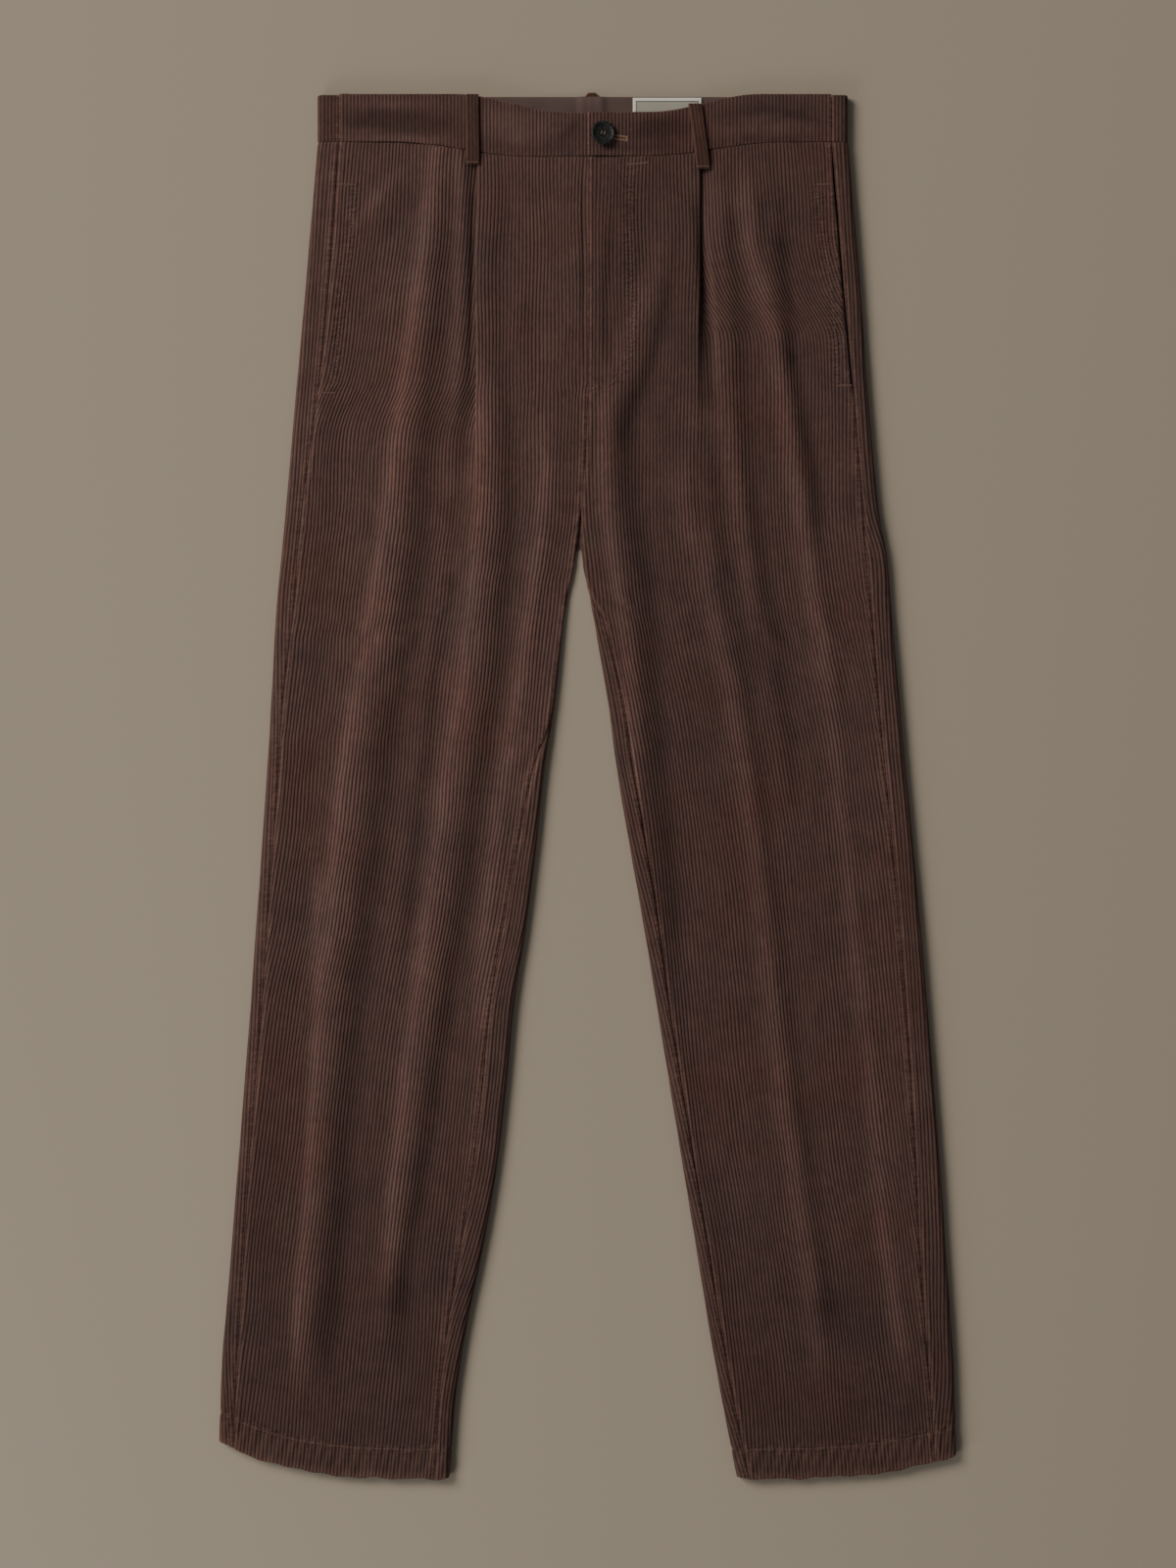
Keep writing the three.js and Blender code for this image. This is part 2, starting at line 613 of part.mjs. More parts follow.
function frontBandRows(leg) {
  const at = station(leg, 0);
  const columns = 14;
  const start = leg.side > 0 ? at.centreQ - 0.5 : at.centreQ - FLY.bandLap;
  const end = at.seam - SEAM_GAP / 2;
  const shares = [{ up: 0, bulge: 0 }, { up: 0.5, bulge: BAND_BULGE }, { up: 1, bulge: 0 }];
  return shares.map(({ up, bulge }) => {
    const points = [];
    for (let i = 0; i <= columns; i += 1) {
      const q = THREE.MathUtils.lerp(start, end, i / columns);
      const x = leg.side * q;
      const y = THREE.MathUtils.lerp(waistSeamY(x) + SEAM_GAP, frontTopY(x), up);
      const isEnd = i === 0 || i === columns;
      const z = frontBandTop(leg, q) - BAND / 2 + (isEnd ? 0 : bulge);
      points.push({ x, y, z, nx: isEnd ? 0 : undefined, nz: 1 });
    }
    return { points, out: BAND / 2, in: BAND / 2, side: leg.side };
  });
}

// Rise of the back waistband where it passes over a belt loop under it
function rearLift(x) {
  let share = 0;
  for (const loop of Object.values(REAR_LOOPS)) {
    const away = Math.abs(x - loop.x);
    share = Math.max(share, 1 - smooth(REAR_BUMP.flat, REAR_BUMP.flat + REAR_BUMP.ramp, away));
  }
  return share * REAR_BUMP.lift;
}

// Places along the floor part of the band: the loops' rises get their own points
function rearPlaces(from, to) {
  const places = [from, to];
  for (const loop of Object.values(REAR_LOOPS)) {
    for (const side of [-1, 1]) {
      for (const share of [0, 0.35, 0.65, 1]) {
        places.push(loop.x + side * (REAR_BUMP.flat + share * REAR_BUMP.ramp));
      }
    }
  }
  for (const x of [-140, -90, -45, 50, 95, 135]) places.push(x);
  return places.filter((x) => x >= from && x <= to).sort((a, b) => a - b);
}

function backBandRows() {
  const right = station(LEGS.right, 0);
  const left = station(LEGS.left, 0);
  const rollOf = (at) => outerRoll(at.edge, at.seam, BAND_TOP, BAND_CLOTH, 6);
  const leftRoll = rollOf(left).map((p) => ({ x: p.q, z: p.z, nx: p.nq, nz: p.nz }));
  const rightRoll = rollOf(right).map((p) => ({ x: -p.q, z: p.z, nx: -p.nq, nz: p.nz })).reverse();
  const floor = rearPlaces(rightRoll[0].x + 1, leftRoll[leftRoll.length - 1].x - 1).reverse()
    .map((x) => ({ x, z: BAND_CLOTH / 2 + rearLift(x) }));
  const outline = [...leftRoll, ...floor, ...rightRoll];
  const bottom = WAIST_Y + WAIST_SEAM.sideLift + SEAM_GAP;
  return [bottom, BACK_TOP_Y].map((y) => {
    const points = outline.map((p) => ({ x: p.x, y, z: p.z, nx: p.nx, nz: p.nz }));
    return { points, out: BAND_CLOTH / 2, in: BAND_CLOTH / 2, side: 1 };
  });
}

function facingRows() {
  const places = rearPlaces(-184, 184);
  const bottom = WAIST_Y + WAIST_SEAM.sideLift + 2;
  return [bottom, BACK_TOP_Y - 0.6].map((y) => {
    const z = (x) => BAND_CLOTH + SEAM_GAP + FACING / 2 + rearLift(x);
    const points = places.map((x) => ({ x, y, z: z(x) }));
    return { points, out: FACING / 2, in: FACING / 2, side: 1 };
  });
}

addPiece('waistband_front_left', wallGeometry(frontBandRows(LEGS.left)), CORDUROY);
addPiece('waistband_front_right', wallGeometry(frontBandRows(LEGS.right)), CORDUROY);
addPiece('waistband_back', wallGeometry(backBandRows()), CORDUROY);
addPiece('waistband_facing', wallGeometry(facingRows()), TWILL);

// A flat strip of cloth between two ends, each given by its middle, with a soft crown across it
function stripRows(ends, width, thickness, crown) {
  return ends.map((end) => {
    const points = [-1, -0.4, 0.4, 1].map((share) => ({
      x: end.x + share * width / 2,
      y: end.y,
      z: end.z + thickness / 2 + (Math.abs(share) < 1 ? crown : 0),
      nx: 0,
      nz: 1,
    }));
    return { points, out: thickness / 2, in: thickness / 2, side: 1 };
  });
}

const labelZ = BAND_CLOTH + 2 * SEAM_GAP + FACING;
addPiece('label', wallGeometry(stripRows([
  { x: 63, y: BACK_TOP_Y - 27, z: labelZ },
  { x: 63, y: BACK_TOP_Y - 1.2, z: labelZ },
], 54, LABEL, 0)), LABEL_CLOTH);

// Belt loops: two on the front over the pleats, three under the back
const loopZ = BAND_TOP + BAND_BULGE + SEAM_GAP;
const loopCrown = 0.3;
const FRONT_LOOPS = {
  loop_front_right: [{ x: -89.5, y: 485.5 }, { x: -89.5, y: 499 }, { x: -90, y: 530 }, { x: -90, y: 540.4 }],
  loop_front_left: [{ x: 91, y: 482 }, { x: 89.5, y: 496 }, { x: 86, y: 522 }, { x: 84.5, y: 533 }],
};
for (const [name, ends] of Object.entries(FRONT_LOOPS)) {
  const rows = stripRows(ends.map((end) => ({ ...end, z: loopZ })), LOOP.width, LOOP.thickness, loopCrown);
  addPiece(name, wallGeometry(rows), CORDUROY);
}
for (const [name, { x, length }] of Object.entries(REAR_LOOPS)) {
  const bottom = WAIST_Y + WAIST_SEAM.sideLift + 1;
  const ends = [{ x, y: bottom, z: 0 }, { x, y: bottom + length, z: 0 }];
  addPiece(name, wallGeometry(stripRows(ends, LOOP.width, LOOP.thickness, 0)), CORDUROY);
}

// Waist button: a turned disc with a raised rim round a dished middle, its lower left edge raised
function buttonGeometry() {
  const { radius, height, dish, rim } = BUTTON;
  const profile = [
    [0, 0], [BUTTON_SEAT, 0], [radius - 0.7, height * 0.35], [radius, height * 0.62],
    [radius - 0.35, height * 0.9], [radius - 1.1, height], [radius - rim, height * 0.93],
    [radius - rim - 0.9, height - dish], [0, height - dish],
  ];
  const geometry = new THREE.LatheGeometry(profile.map(([r, z]) => new THREE.Vector2(r, z)), 32);
  geometry.rotateX(Math.PI / 2);
  const across = new THREE.Vector3(-1, 1, 0).normalize();
  geometry.applyQuaternion(new THREE.Quaternion().setFromAxisAngle(across, radians(BUTTON.lean)));
  return geometry;
}

const button = addPiece('button', buttonGeometry(), HORN);
const buttonRise = BUTTON_SEAT * Math.sin(radians(BUTTON.lean)) + SEAM_GAP;
button.position.set(BUTTON.x, BUTTON.y, frontBandTop(LEGS.left, BUTTON.x) + BAND_BULGE + buttonRise);

export default garment;
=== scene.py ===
"""Corduroy trousers laid flat on their back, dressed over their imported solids.

The classes hold their sizes in millimetres, in the garment's own frame: x to the wearer's left, y to the
waist, z up from the surface it lies on. "drop" is the distance down from the waist seam, and q is the
distance outwards from the middle of the garment on either leg. Meshes are written in metres.
"""

import logging
import math
from dataclasses import dataclass
from enum import Enum
from typing import Any, Sequence

import bpy
import numpy as np
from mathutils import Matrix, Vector
from mathutils.bvhtree import BVHTree


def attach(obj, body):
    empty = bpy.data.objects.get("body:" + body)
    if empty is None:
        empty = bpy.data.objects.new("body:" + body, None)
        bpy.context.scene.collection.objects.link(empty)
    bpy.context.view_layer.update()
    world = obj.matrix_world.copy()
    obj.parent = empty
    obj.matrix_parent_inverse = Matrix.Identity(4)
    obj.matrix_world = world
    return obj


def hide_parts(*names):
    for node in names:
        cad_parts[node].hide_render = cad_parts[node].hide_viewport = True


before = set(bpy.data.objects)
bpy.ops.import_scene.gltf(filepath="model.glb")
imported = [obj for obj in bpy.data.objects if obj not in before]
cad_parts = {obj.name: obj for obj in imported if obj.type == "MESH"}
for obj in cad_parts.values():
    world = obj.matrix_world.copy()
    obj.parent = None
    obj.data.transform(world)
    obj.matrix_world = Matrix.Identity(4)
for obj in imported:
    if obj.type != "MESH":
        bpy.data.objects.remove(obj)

log = logging.getLogger("trousers")
MM = 0.001
ORIGIN = np.array([-0.3, -1.3, 0.0])

# Cloth and construction, as in the solids
CLOTH = 1.5
BAND = 2.4
BAND_CLOTH = 1.6
FACING = 1.0
LABEL = 0.6
SEAM_GAP = 0.3
WAIST_Y = 497.0
BACK_TOP_Y = 540.0
BAND_TOP = 10.0
BAND_BULGE = 0.4
HEM_DROP = 1041.0
HEM_DEPTH = 23.0
HEM_TURN_UP = 0.8
ROLL_OUTER = 32.0
ROLL_INNER = 30.0
PLEAT_REACH = 50.0
PLEAT_TROUGH = 13.0
LEAST_GAP = 0.4
FLY_LAP = 14.0
FLY_BAND_LAP = 40.0
FLY_LIFT = CLOTH + SEAM_GAP
FLY_END_DROP = 182.0
FLY_FALL_DROP = 191.0
FLY_MERGE_DROP = 205.0
FLY_BLEND = 35.0
BAND_LAP_BLEND = 36.0
CROTCH_TOP = 281.0
CROTCH_SPLIT = 318.0
CROTCH_RADIUS = 1.05
POCKET_TOP = 35.0
POCKET_BOTTOM = 182.0
POCKET_GAPE = 1.0
WAIST_SIDE_LIFT = 6.2
WAIST_DIP = 11.2
WAIST_DIP_INNER = 46.0
WAIST_DIP_OUTER = 154.0
WAIST_FADE = 120.0
FRONT_TOP_Y = 540.9
FRONT_TOP_DIP = 14.6
FRONT_TOP_CENTRE = 16.0
FRONT_TOP_INNER = 31.0
FRONT_TOP_OUTER = 120.0
BAND_HEIGHT = 38.0
REAR_BUMP_FLAT = 6.6
REAR_BUMP_END = 13.0
HEM_SLOPE_TOP = 880.0
LOOP_WIDTH = 10.5
LOOP_THICKNESS = 1.6
REAR_LOOPS = {"right": (-189.4, 38.5), "centre": (3.9, 39.2), "left": (172.0, 36.8)}

# Rows where the solids have a section, and their heights, pleat and middle line
ROWS = np.array([
    0, 35, 70, 110, 150, 182, 191, 205, 220, 238, 260, 281, 292, 304, 312, 318, 326, 336, 348, 366, 400,
    440, 457, 475, 540, 605, 670, 735, 800, 865, 925, 980, 1014, 1018, 1022, HEM_DROP,
], dtype=float)

# Corduroy ribs: six mesh columns to a rib
RIB_PITCH = 2.8
RIB_COLUMNS = 6
RIB_RISE = 0.25
RIB_DEPTH = 0.45
RIB_POWER = 0.6
RIB_STEP = RIB_PITCH / RIB_COLUMNS

# How far folded edges reach past the cloth's last rows; then, by drop, where lengthwise folds fade, where a
# pleat opens ahead of its solid and where a front's section is spread evenly
HEM_TIP = 0.9
LOOP_TIP = 0.8
FACING_TIP = 0.6
FOLD_FADE = 60.0
FOLD_STOP = (925.0, 1000.0)
EARLY_START = (60.0, 150.0)
EARLY_END = (300.0, 366.0)
EVEN_DROPS = (330.0, 430.0)

# Width of the flat strip beside the middle seam, and the distance given to cloth with no sewing near it
FLAT_STRIP = 12.0
FAR_FROM_SEWING = 20.0


def smooth(a: float, b: float, x: np.ndarray) -> np.ndarray:
    """Smooth step: 0 below a, 1 above b, and 3t^2 - 2t^3 between them."""
    t = np.clip((x - a) / (b - a), 0.0, 1.0)
    return t * t * (3.0 - 2.0 * t)


def falloff(t: np.ndarray) -> np.ndarray:
    """1 at 0 and 0 from distance 1 on, flat at both ends."""
    return 1.0 - smooth(0.0, 1.0, np.abs(t))


def lerp(a: Any, b: Any, t: Any) -> Any:
    """Straight mix of a and b: a at t = 0 and b at t = 1."""
    return a + (b - a) * t


def along(places: np.ndarray, values: np.ndarray, at: np.ndarray) -> np.ndarray:
    """Monotone cubic curve through rows of values, read at new places.

    The slope at a row is the weighted harmonic mean of its neighbours' slopes, and 0 at a peak.

    Args:
        places: The rows' places, rising.
        values: One row of values for each place.
        at: The new places.

    Returns:
        One row of values for each new place.
    """
    values = values.reshape(len(places), -1)
    step = np.diff(places)[:, None]
    slope = np.diff(values, axis=0) / step
    before, after = slope[:-1], slope[1:]
    same = before * after > 1e-12
    w1 = 2.0 * step[1:] + step[:-1]
    w2 = step[1:] + 2.0 * step[:-1]
    safe_before = np.where(same, before, 1.0)
    safe_after = np.where(same, after, 1.0)
    tangent = np.empty_like(values)
    tangent[1:-1] = np.where(same, (w1 + w2) / (w1 / safe_before + w2 / safe_after), 0.0)
    tangent[0], tangent[-1] = slope[0], slope[-1]
    i = np.clip(np.searchsorted(places, at, side="right") - 1, 0, len(places) - 2)
    t = ((at - places[i]) / (places[i + 1] - places[i]))[:, None]
    h = step[i]
    return ((2 * t**3 - 3 * t**2 + 1) * values[i] + (t**3 - 2 * t**2 + t) * h * tangent[i]
            + (3 * t**2 - 2 * t**3) * values[i + 1] + (t**3 - t**2) * h * tangent[i + 1])


@dataclass(frozen=True)
class Table:
    """A short table with named columns, a row for each drop."""

    columns: tuple[str, ...]
    rows: tuple[tuple[float, ...], ...]

    def _column(self, name: str) -> tuple[np.ndarray, np.ndarray]:
        """The drops and one column's values."""
        data = np.array(self.rows, dtype=float)
        return data[:, 0], data[:, self.columns.index(name)]

    def linear(self, name: str, drop: np.ndarray) -> np.ndarray:
        """A column's values at the drops, straight between rows."""
        return np.interp(drop, *self._column(name))

    def smooth(self, name: str, drop: np.ndarray) -> np.ndarray:
        """A column's values on a cubic Hermite curve, whose slopes come from the neighbouring rows.

        Args:
            name: The column.
            drop: The drops to read it at.

        Returns:
            The values at those drops.
        """
        x, y = self._column(name)
        last = len(x) - 1
        low = np.maximum(np.arange(len(x)) - 1, 0)
        high = np.minimum(np.arange(len(x)) + 1, last)
        slope = (y[high] - y[low]) / (x[high] - x[low])
        at = np.clip(drop, x[0], x[-1])
        i = np.clip(np.searchsorted(x, at, side="left") - 1, 0, last - 1)
        h = x[i + 1] - x[i]
        t = (at - x[i]) / h
        return ((2 * t**3 - 3 * t**2 + 1) * y[i] + (t**3 - 2 * t**2 + t) * h * slope[i]
                + (3 * t**2 - 2 * t**3) * y[i + 1] + (t**3 - t**2) * h * slope[i + 1])


@dataclass(frozen=True)
class Fold:
    """A soft lengthwise ridge (or trough, where its height is negative) along a path of drop and q.

    Its outer side, away from the middle of the garment, may be steeper or flatter than its inner side.
    """

    height: float
    outer: float
    inner: float
    path: tuple[tuple[float, float], ...]


@dataclass(frozen=True)
class Crease:
    """A short crease across the cloth: a ridge or trough along a path of x and y, faded at its ends."""

    height: float
    width: float
    path: tuple[tuple[float, float], ...]


@dataclass(frozen=True)
class Leg:
    """One leg's cut: its side, its hem's slope, its outline, its folds and the grain of its back.

    shade says by drop how much darker its cloth is coloured; early is how far its pleat runs ahead of the
    solid's;
    gape is its pocket mouth's opening, as a share of the solid's.
    """

    name: str
    side: int
    hem_lift: float
    hem_power: float
    outline: Table
    turns: Table
    folds: tuple[Fold, ...]
    shade: tuple[tuple[float, float], ...]
    early: float
    gape: float
    back_grain: tuple[float, float]
    creases: tuple[Crease, ...]
    back_creases: tuple[Crease, ...]


# Heights of the upper face at the side, the middle, between them and along the pleat, by drop
HEIGHTS = Table(("drop", "side", "centre", "base", "pleat"), (
    (0, 10.0, 9.6, 9.5, 9.9), (70, 9.3, 7.8, 7.6, 9.4), (150, 9.0, 6.6, 6.6, 8.8),
    (205, 9.0, 5.4, 6.2, 8.2), (260, 9.0, 4.2, 6.0, 7.6), (281, 9.0, 3.7, 6.0, 7.4),
    (318, 9.0, 3.7, 6.0, 7.0), (348, 9.0, 4.2, 6.0, 6.7), (400, 9.0, 6.4, 6.0, 6.2),
    (475, 9.0, 8.6, 6.0, 6.0), (865, 9.0, 9.0, 6.3, 6.3), (980, 9.0, 9.0, 8.9, 8.9),
    (HEM_DROP, 9.0, 9.0, 9.0, 9.0),
))
# How far the pleat turns in degrees, the radius of its turns and how deep its layers lap
PLEAT = Table(("drop", "turn", "radius", "lap"), (
    (0, 180, 1.05, 15), (70, 180, 1.05, 13), (150, 180, 1.05, 8), (182, 178, 1.05, 5),
    (205, 150, 1.05, 1.6), (220, 110, 1.1, 0.9), (238, 70, 1.5, 0.9), (260, 40, 3, 1.2),
    (281, 20, 6, 2), (318, 8, 14, 4), (366, 0, 20, 8),
))
CENTRE = Table(("drop", "x"), ((0, 0.5), (189, 0.5), (242, -1.5), (281, -4.7), (318, -6.4)))
OUTLINE_COLUMNS = ("drop", "edge", "seam", "grain", "inner", "inset")
TURN_COLUMNS = ("drop", "front", "back")

LEFT = Leg(
    name="left",
    side=1,
    hem_lift=18,
    hem_power=3,
    outline=Table(OUTLINE_COLUMNS, (
        (0, 204.5, 191.5, 88, 1, 0), (111.5, 214.5, 201.5, 88, 1, 0), (188.5, 220, 208.5, 88, 1, 0),
        (281, 228.5, 216, 88.5, -4.5, 0), (318, 235, 218.5, 91.5, -4, 0), (359.5, 238.5, 222.5, 97, 4, 6.2),
        (432, 245, 228.5, 111.5, 16.5, 12.3), (499, 251, 235, 123, 25.5, 12.3),
        (574.5, 258.5, 242, 133, 39, 12.3), (674, 267, 250, 143, 55.5, 9.2),
        (776, 275.5, 256.5, 154, 72, 9), (858.5, 281, 260.5, 168, 85.5, 9),
        (955.5, 287, 267, 180, 101.5, 9), (HEM_DROP, 289, 272.5, 187, 118, 9),
    )),
    turns=Table(TURN_COLUMNS, (
        (281, 0, 0), (292, 50, 0), (304, 90, 0), (318, 90, 0), (326, 170, 10), (336, 135, 45), (348, 90, 90),
        (366, 0, 180),
    )),
    folds=(
        Fold(1.6, 9, 10, ((273, 78), (335, 95), (404, 112), (466, 123), (589, 139), (712, 152),
            (774, 160.5), (835, 171), (897, 178), (950, 184))),
        Fold(-0.8, 8, 8, ((335, 116), (404, 124), (466, 134), (589, 151), (712, 166), (774, 173),
            (835, 184), (897, 190))),
        Fold(1.5, 9, 8, ((50, 104), (127, 106), (219, 113.5), (273, 119), (335, 128))),
        Fold(-1.2, 8, 8, ((81, 117), (127, 121), (219, 126), (273, 132), (335, 141), (404, 152),
            (466, 162))),
        Fold(2.5, 9, 10, ((60, 126), (127, 145), (173, 153), (273, 168), (404, 188))),
        Fold(1.5, 9, 8, ((464, 196), (527, 203), (651, 216), (774, 229.5), (835, 233), (897, 240),
            (959, 250))),
        Fold(-1.8, 7, 7, ((81, 155), (127, 159), (173, 164.5), (219, 172), (273, 182))),
        Fold(2.2, 10, 6, ((219, 12), (273, 14.5), (335, 24), (404, 33), (466, 38))),
        Fold(-1.8, 10, 10, ((219, 34), (273, 36), (335, 48), (404, 53), (466, 58), (589, 70))),
    ),
    shade=((0, 0.4), (700, 0.45), (835, 0.5), (897, 0.75), (1041, 0.95)),
    early=85,
    gape=1.35,
    back_grain=(91, 198),
    creases=(
        Crease(2.0, 11, ((62, 420), (42, 370), (32, 324), (14, 290))),
        Crease(-1.7, 7, ((74, 432), (62, 370), (50, 324), (34, 285), (26, 262))),
        Crease(-1.2, 5, ((21, 452), (19, 416), (15, 370), (17, 332))),
        Crease(0.8, 5, ((9, 440), (7, 380), (8, 330))),
        Crease(-1.5, 5, ((144, 424), (158, 420), (172, 422))),
        Crease(-1.4, 5, ((156, 345), (161, 337), (160, 322))),
        Crease(1.0, 6, ((126, 470), (131, 440), (128, 410))),
        Crease(-0.9, 5, ((112, 452), (118, 436), (132, 426))),
        Crease(0.8, 9, ((64, 300), (92, 288), (118, 284))),
        Crease(-0.6, 7, ((205, 120), (228, 108), (243, 104))),
        Crease(0.7, 9, ((96, 22), (128, 10), (150, 6))),
        Crease(0.6, 7, ((196, -160), (225, -168), (252, -166))),
        Crease(-0.6, 6, ((112, -180), (136, -192), (150, -196))),
        Crease(0.7, 6, ((232, -330), (247, -420), (252, -470))),
        Crease(-0.7, 8, ((150, -400), (190, -410), (224, -404))),
        Crease(-2.6, 4.2, ((86.5, 458), (89, 424), (92, 388), (95, 350), (97.5, 300))),
        Crease(1.5, 3.0, ((92.5, 462), (96, 424), (99.5, 384), (103, 344), (106, 296))),
    ),
    back_creases=(
        Crease(0.7, 9, ((60, 300), (110, 286), (160, 292))),
        Crease(0.6, 8, ((70, 30), (120, 14), (170, 18))),
        Crease(0.7, 10, ((150, 460), (155, 400), (150, 340))),
        Crease(0.5, 8, ((150, -220), (200, -232), (240, -228))),
    ),
)

RIGHT = Leg(
    name="right",
    side=-1,
    hem_lift=29,
    hem_power=3.3,
    outline=Table(OUTLINE_COLUMNS, (
        (0, 211, 194.5, 86, -1, 0), (111.5, 221, 203, 86.5, -1, 0), (188.5, 228, 211, 86.5, -1, 0),
        (281, 236, 223.5, 88, 5, 0), (318, 239.5, 227, 92, 9, 0), (359.5, 243.5, 230, 97, 17, 0),
        (432, 247.5, 238.5, 105.5, 25.5, 3), (499, 251.5, 242.5, 112, 35.5, 10),
        (574.5, 257, 248.5, 121.5, 43, 17.7), (674, 264, 255, 140, 58, 18.5),
        (776, 272, 263.5, 152.5, 68, 18.5), (858.5, 278.5, 268.5, 162.5, 81.5, 17.7),
        (955.5, 285.5, 274, 171, 100.5, 13.1), (HEM_DROP, 288, 277, 178.5, 108.5, 11.6),
    )),
    turns=Table(TURN_COLUMNS, (
        (281, 0, 0), (292, 50, 0), (304, 90, 0), (318, 90, 0), (326, 170, 10), (336, 135, 45), (348, 90, 90),
        (440, 60, 120), (457, 30, 150), (475, 0, 180),
    )),
    folds=(
        Fold(3.4, 8, 16, ((19, 116), (81, 126), (127, 132), (219, 145), (335, 161.5), (404, 173),
            (466, 185), (527, 192), (589, 196))),
        Fold(2.7, 6, 16, ((600, 209), (651, 208), (712, 210), (774, 213.5), (835, 217.5), (897, 223),
            (959, 225.5))),
        Fold(-2, 12, 12, ((35, 108), (127, 114), (219, 122.5), (335, 132), (404, 144), (466, 154),
            (589, 169), (712, 183.5), (835, 193), (959, 204))),
        Fold(3, 8, 14, ((212, 80.5), (273, 81.5), (335, 86), (404, 94), (466, 103), (589, 120),
            (712, 137), (774, 144), (850, 152))),
        Fold(-1, 9, 9, ((50, 64), (100, 69), (173, 64), (219, 60))),
        Fold(-1.8, 9, 9, ((273, 58), (335, 61.5), (404, 67.5), (466, 77), (589, 95), (712, 114),
            (835, 133), (897, 145))),
        Fold(-1.1, 6, 6, ((219, 97), (273, 97), (335, 105), (404, 116), (466, 122), (589, 138))),
        Fold(2.2, 7, 10, ((258, 31), (335, 38.5), (404, 49), (466, 58), (527, 67), (589, 75), (651, 81))),
        Fold(1.2, 5, 6, ((20, 98), (112, 99.5), (170, 102))),
    ),
    shade=((0, 0), (400, 0), (466, 0.15), (712, 0.35), (835, 0.65), (1041, 0.95)),
    early=0,
    gape=0.2,
    back_grain=(93, 196),
    creases=(
        Crease(1.9, 6, ((-138, 486), (-156, 466), (-184, 434))),
        Crease(-1.2, 7, ((-132, 468), (-146, 446), (-164, 420))),
        Crease(0.6, 9, ((-60, 250), (-92, 238), (-120, 242))),
        Crease(-0.6, 8, ((-150, 92), (-186, 80), (-214, 82))),
        Crease(0.6, 8, ((-92, 0), (-120, -12), (-142, -14))),
        Crease(0.5, 8, ((-176, -190), (-206, -200), (-232, -196))),
        Crease(-0.7, 8, ((-40, 400), (-44, 360), (-40, 320))),
        Crease(-1.1, 2.2, ((-2.8, 498), (-2.6, 430), (-2.6, 330))),
        Crease(0.5, 5, ((-98, 484), (-98.5, 440), (-99, 400))),
        Crease(-1.3, 1.9, ((-89.4, 468), (-90.2, 420), (-91.2, 360), (-92, 312))),
    ),
    back_creases=(
        Crease(0.7, 9, ((-58, 280), (-106, 268), (-158, 276))),
        Crease(0.6, 8, ((-80, 40), (-130, 26), (-176, 34))),
        Crease(0.7, 10, ((-148, 450), (-156, 392), (-150, 330))),
        Crease(0.5, 8, ((-150, -200), (-196, -214), (-236, -208))),
    ),
)


class Stations:
    """Everything that a leg's cross-sections need, as columns with a row for each drop."""

    def __init__(self, leg: Leg, drops: np.ndarray) -> None:
        """Work out the sizes at each drop.

        Args:
            leg: The leg.
            drops: The drops.
        """
        d = drops.reshape(-1, 1)
        self.drop = d
        self.centre_q = leg.side * CENTRE.smooth("x", d)
        opening = smooth(CROTCH_TOP, CROTCH_SPLIT, d)
        self.inner_q = lerp(self.centre_q, leg.outline.smooth("inner", d), opening)
        self.edge = leg.outline.smooth("edge", d)
        self.seam = leg.outline.smooth("seam", d)
        self.grain = leg.outline.smooth("grain", d)
        self.inset = leg.outline.linear("inset", d)
        self.side_mid = HEIGHTS.linear("side", d) - CLOTH / 2
        self.centre_mid = HEIGHTS.linear("centre", d) - CLOTH / 2
        self.base_mid = HEIGHTS.linear("base", d) - CLOTH / 2
        self.pleat_mid = HEIGHTS.linear("pleat", d) - CLOTH / 2
        self.inner_radius = np.where(d <= CROTCH_SPLIT, CROTCH_RADIUS, (self.centre_mid - CLOTH / 2) / 2)
        self.front_turn = np.radians(leg.turns.linear("front", d))
        self.back_turn = np.radians(leg.turns.linear("back", d))
        opened = d + leg.early * smooth(*EARLY_START, d) * (1 - smooth(*EARLY_END, d))
        self.turn = np.radians(PLEAT.linear("turn", opened))
        self.radius = PLEAT.linear("radius", opened)
        self.lap = PLEAT.linear("lap", opened)
        self.step = 2 * self.radius * (1 - np.cos(self.turn)) + self.lap * np.sin(self.turn)
        lift = FLY_LIFT * (1 - smooth(FLY_FALL_DROP, FLY_MERGE_DROP, d))
        self.fly_lift = lift if leg.side > 0 else 0 * lift
        pocket = (d >= POCKET_TOP) & (d <= POCKET_BOTTOM)
        self.mouth = self.seam - SEAM_GAP / 2 - POCKET_GAPE * leg.gape * pocket


def fold_height(leg: Leg, at: Stations, q: np.ndarray) -> np.ndarray:
    """Height of the lengthwise folds, each faded at its ends and falling off to both sides."""
    height = np.zeros_like(q)
    for fold in leg.folds:
        path = Table(("drop", "q"), fold.path)
        start, end = fold.path[0][0], fold.path[-1][0]
        strength = smooth(start - FOLD_FADE, start, at.drop) * (1 - smooth(end, end + FOLD_FADE, at.drop))
        away = q - path.smooth("q", at.drop)
        away = away / np.where(away > 0, fold.outer, fold.inner)
        height += fold.height * strength * np.exp(-away * away)
    return height * (1 - smooth(*FOLD_STOP, at.drop))


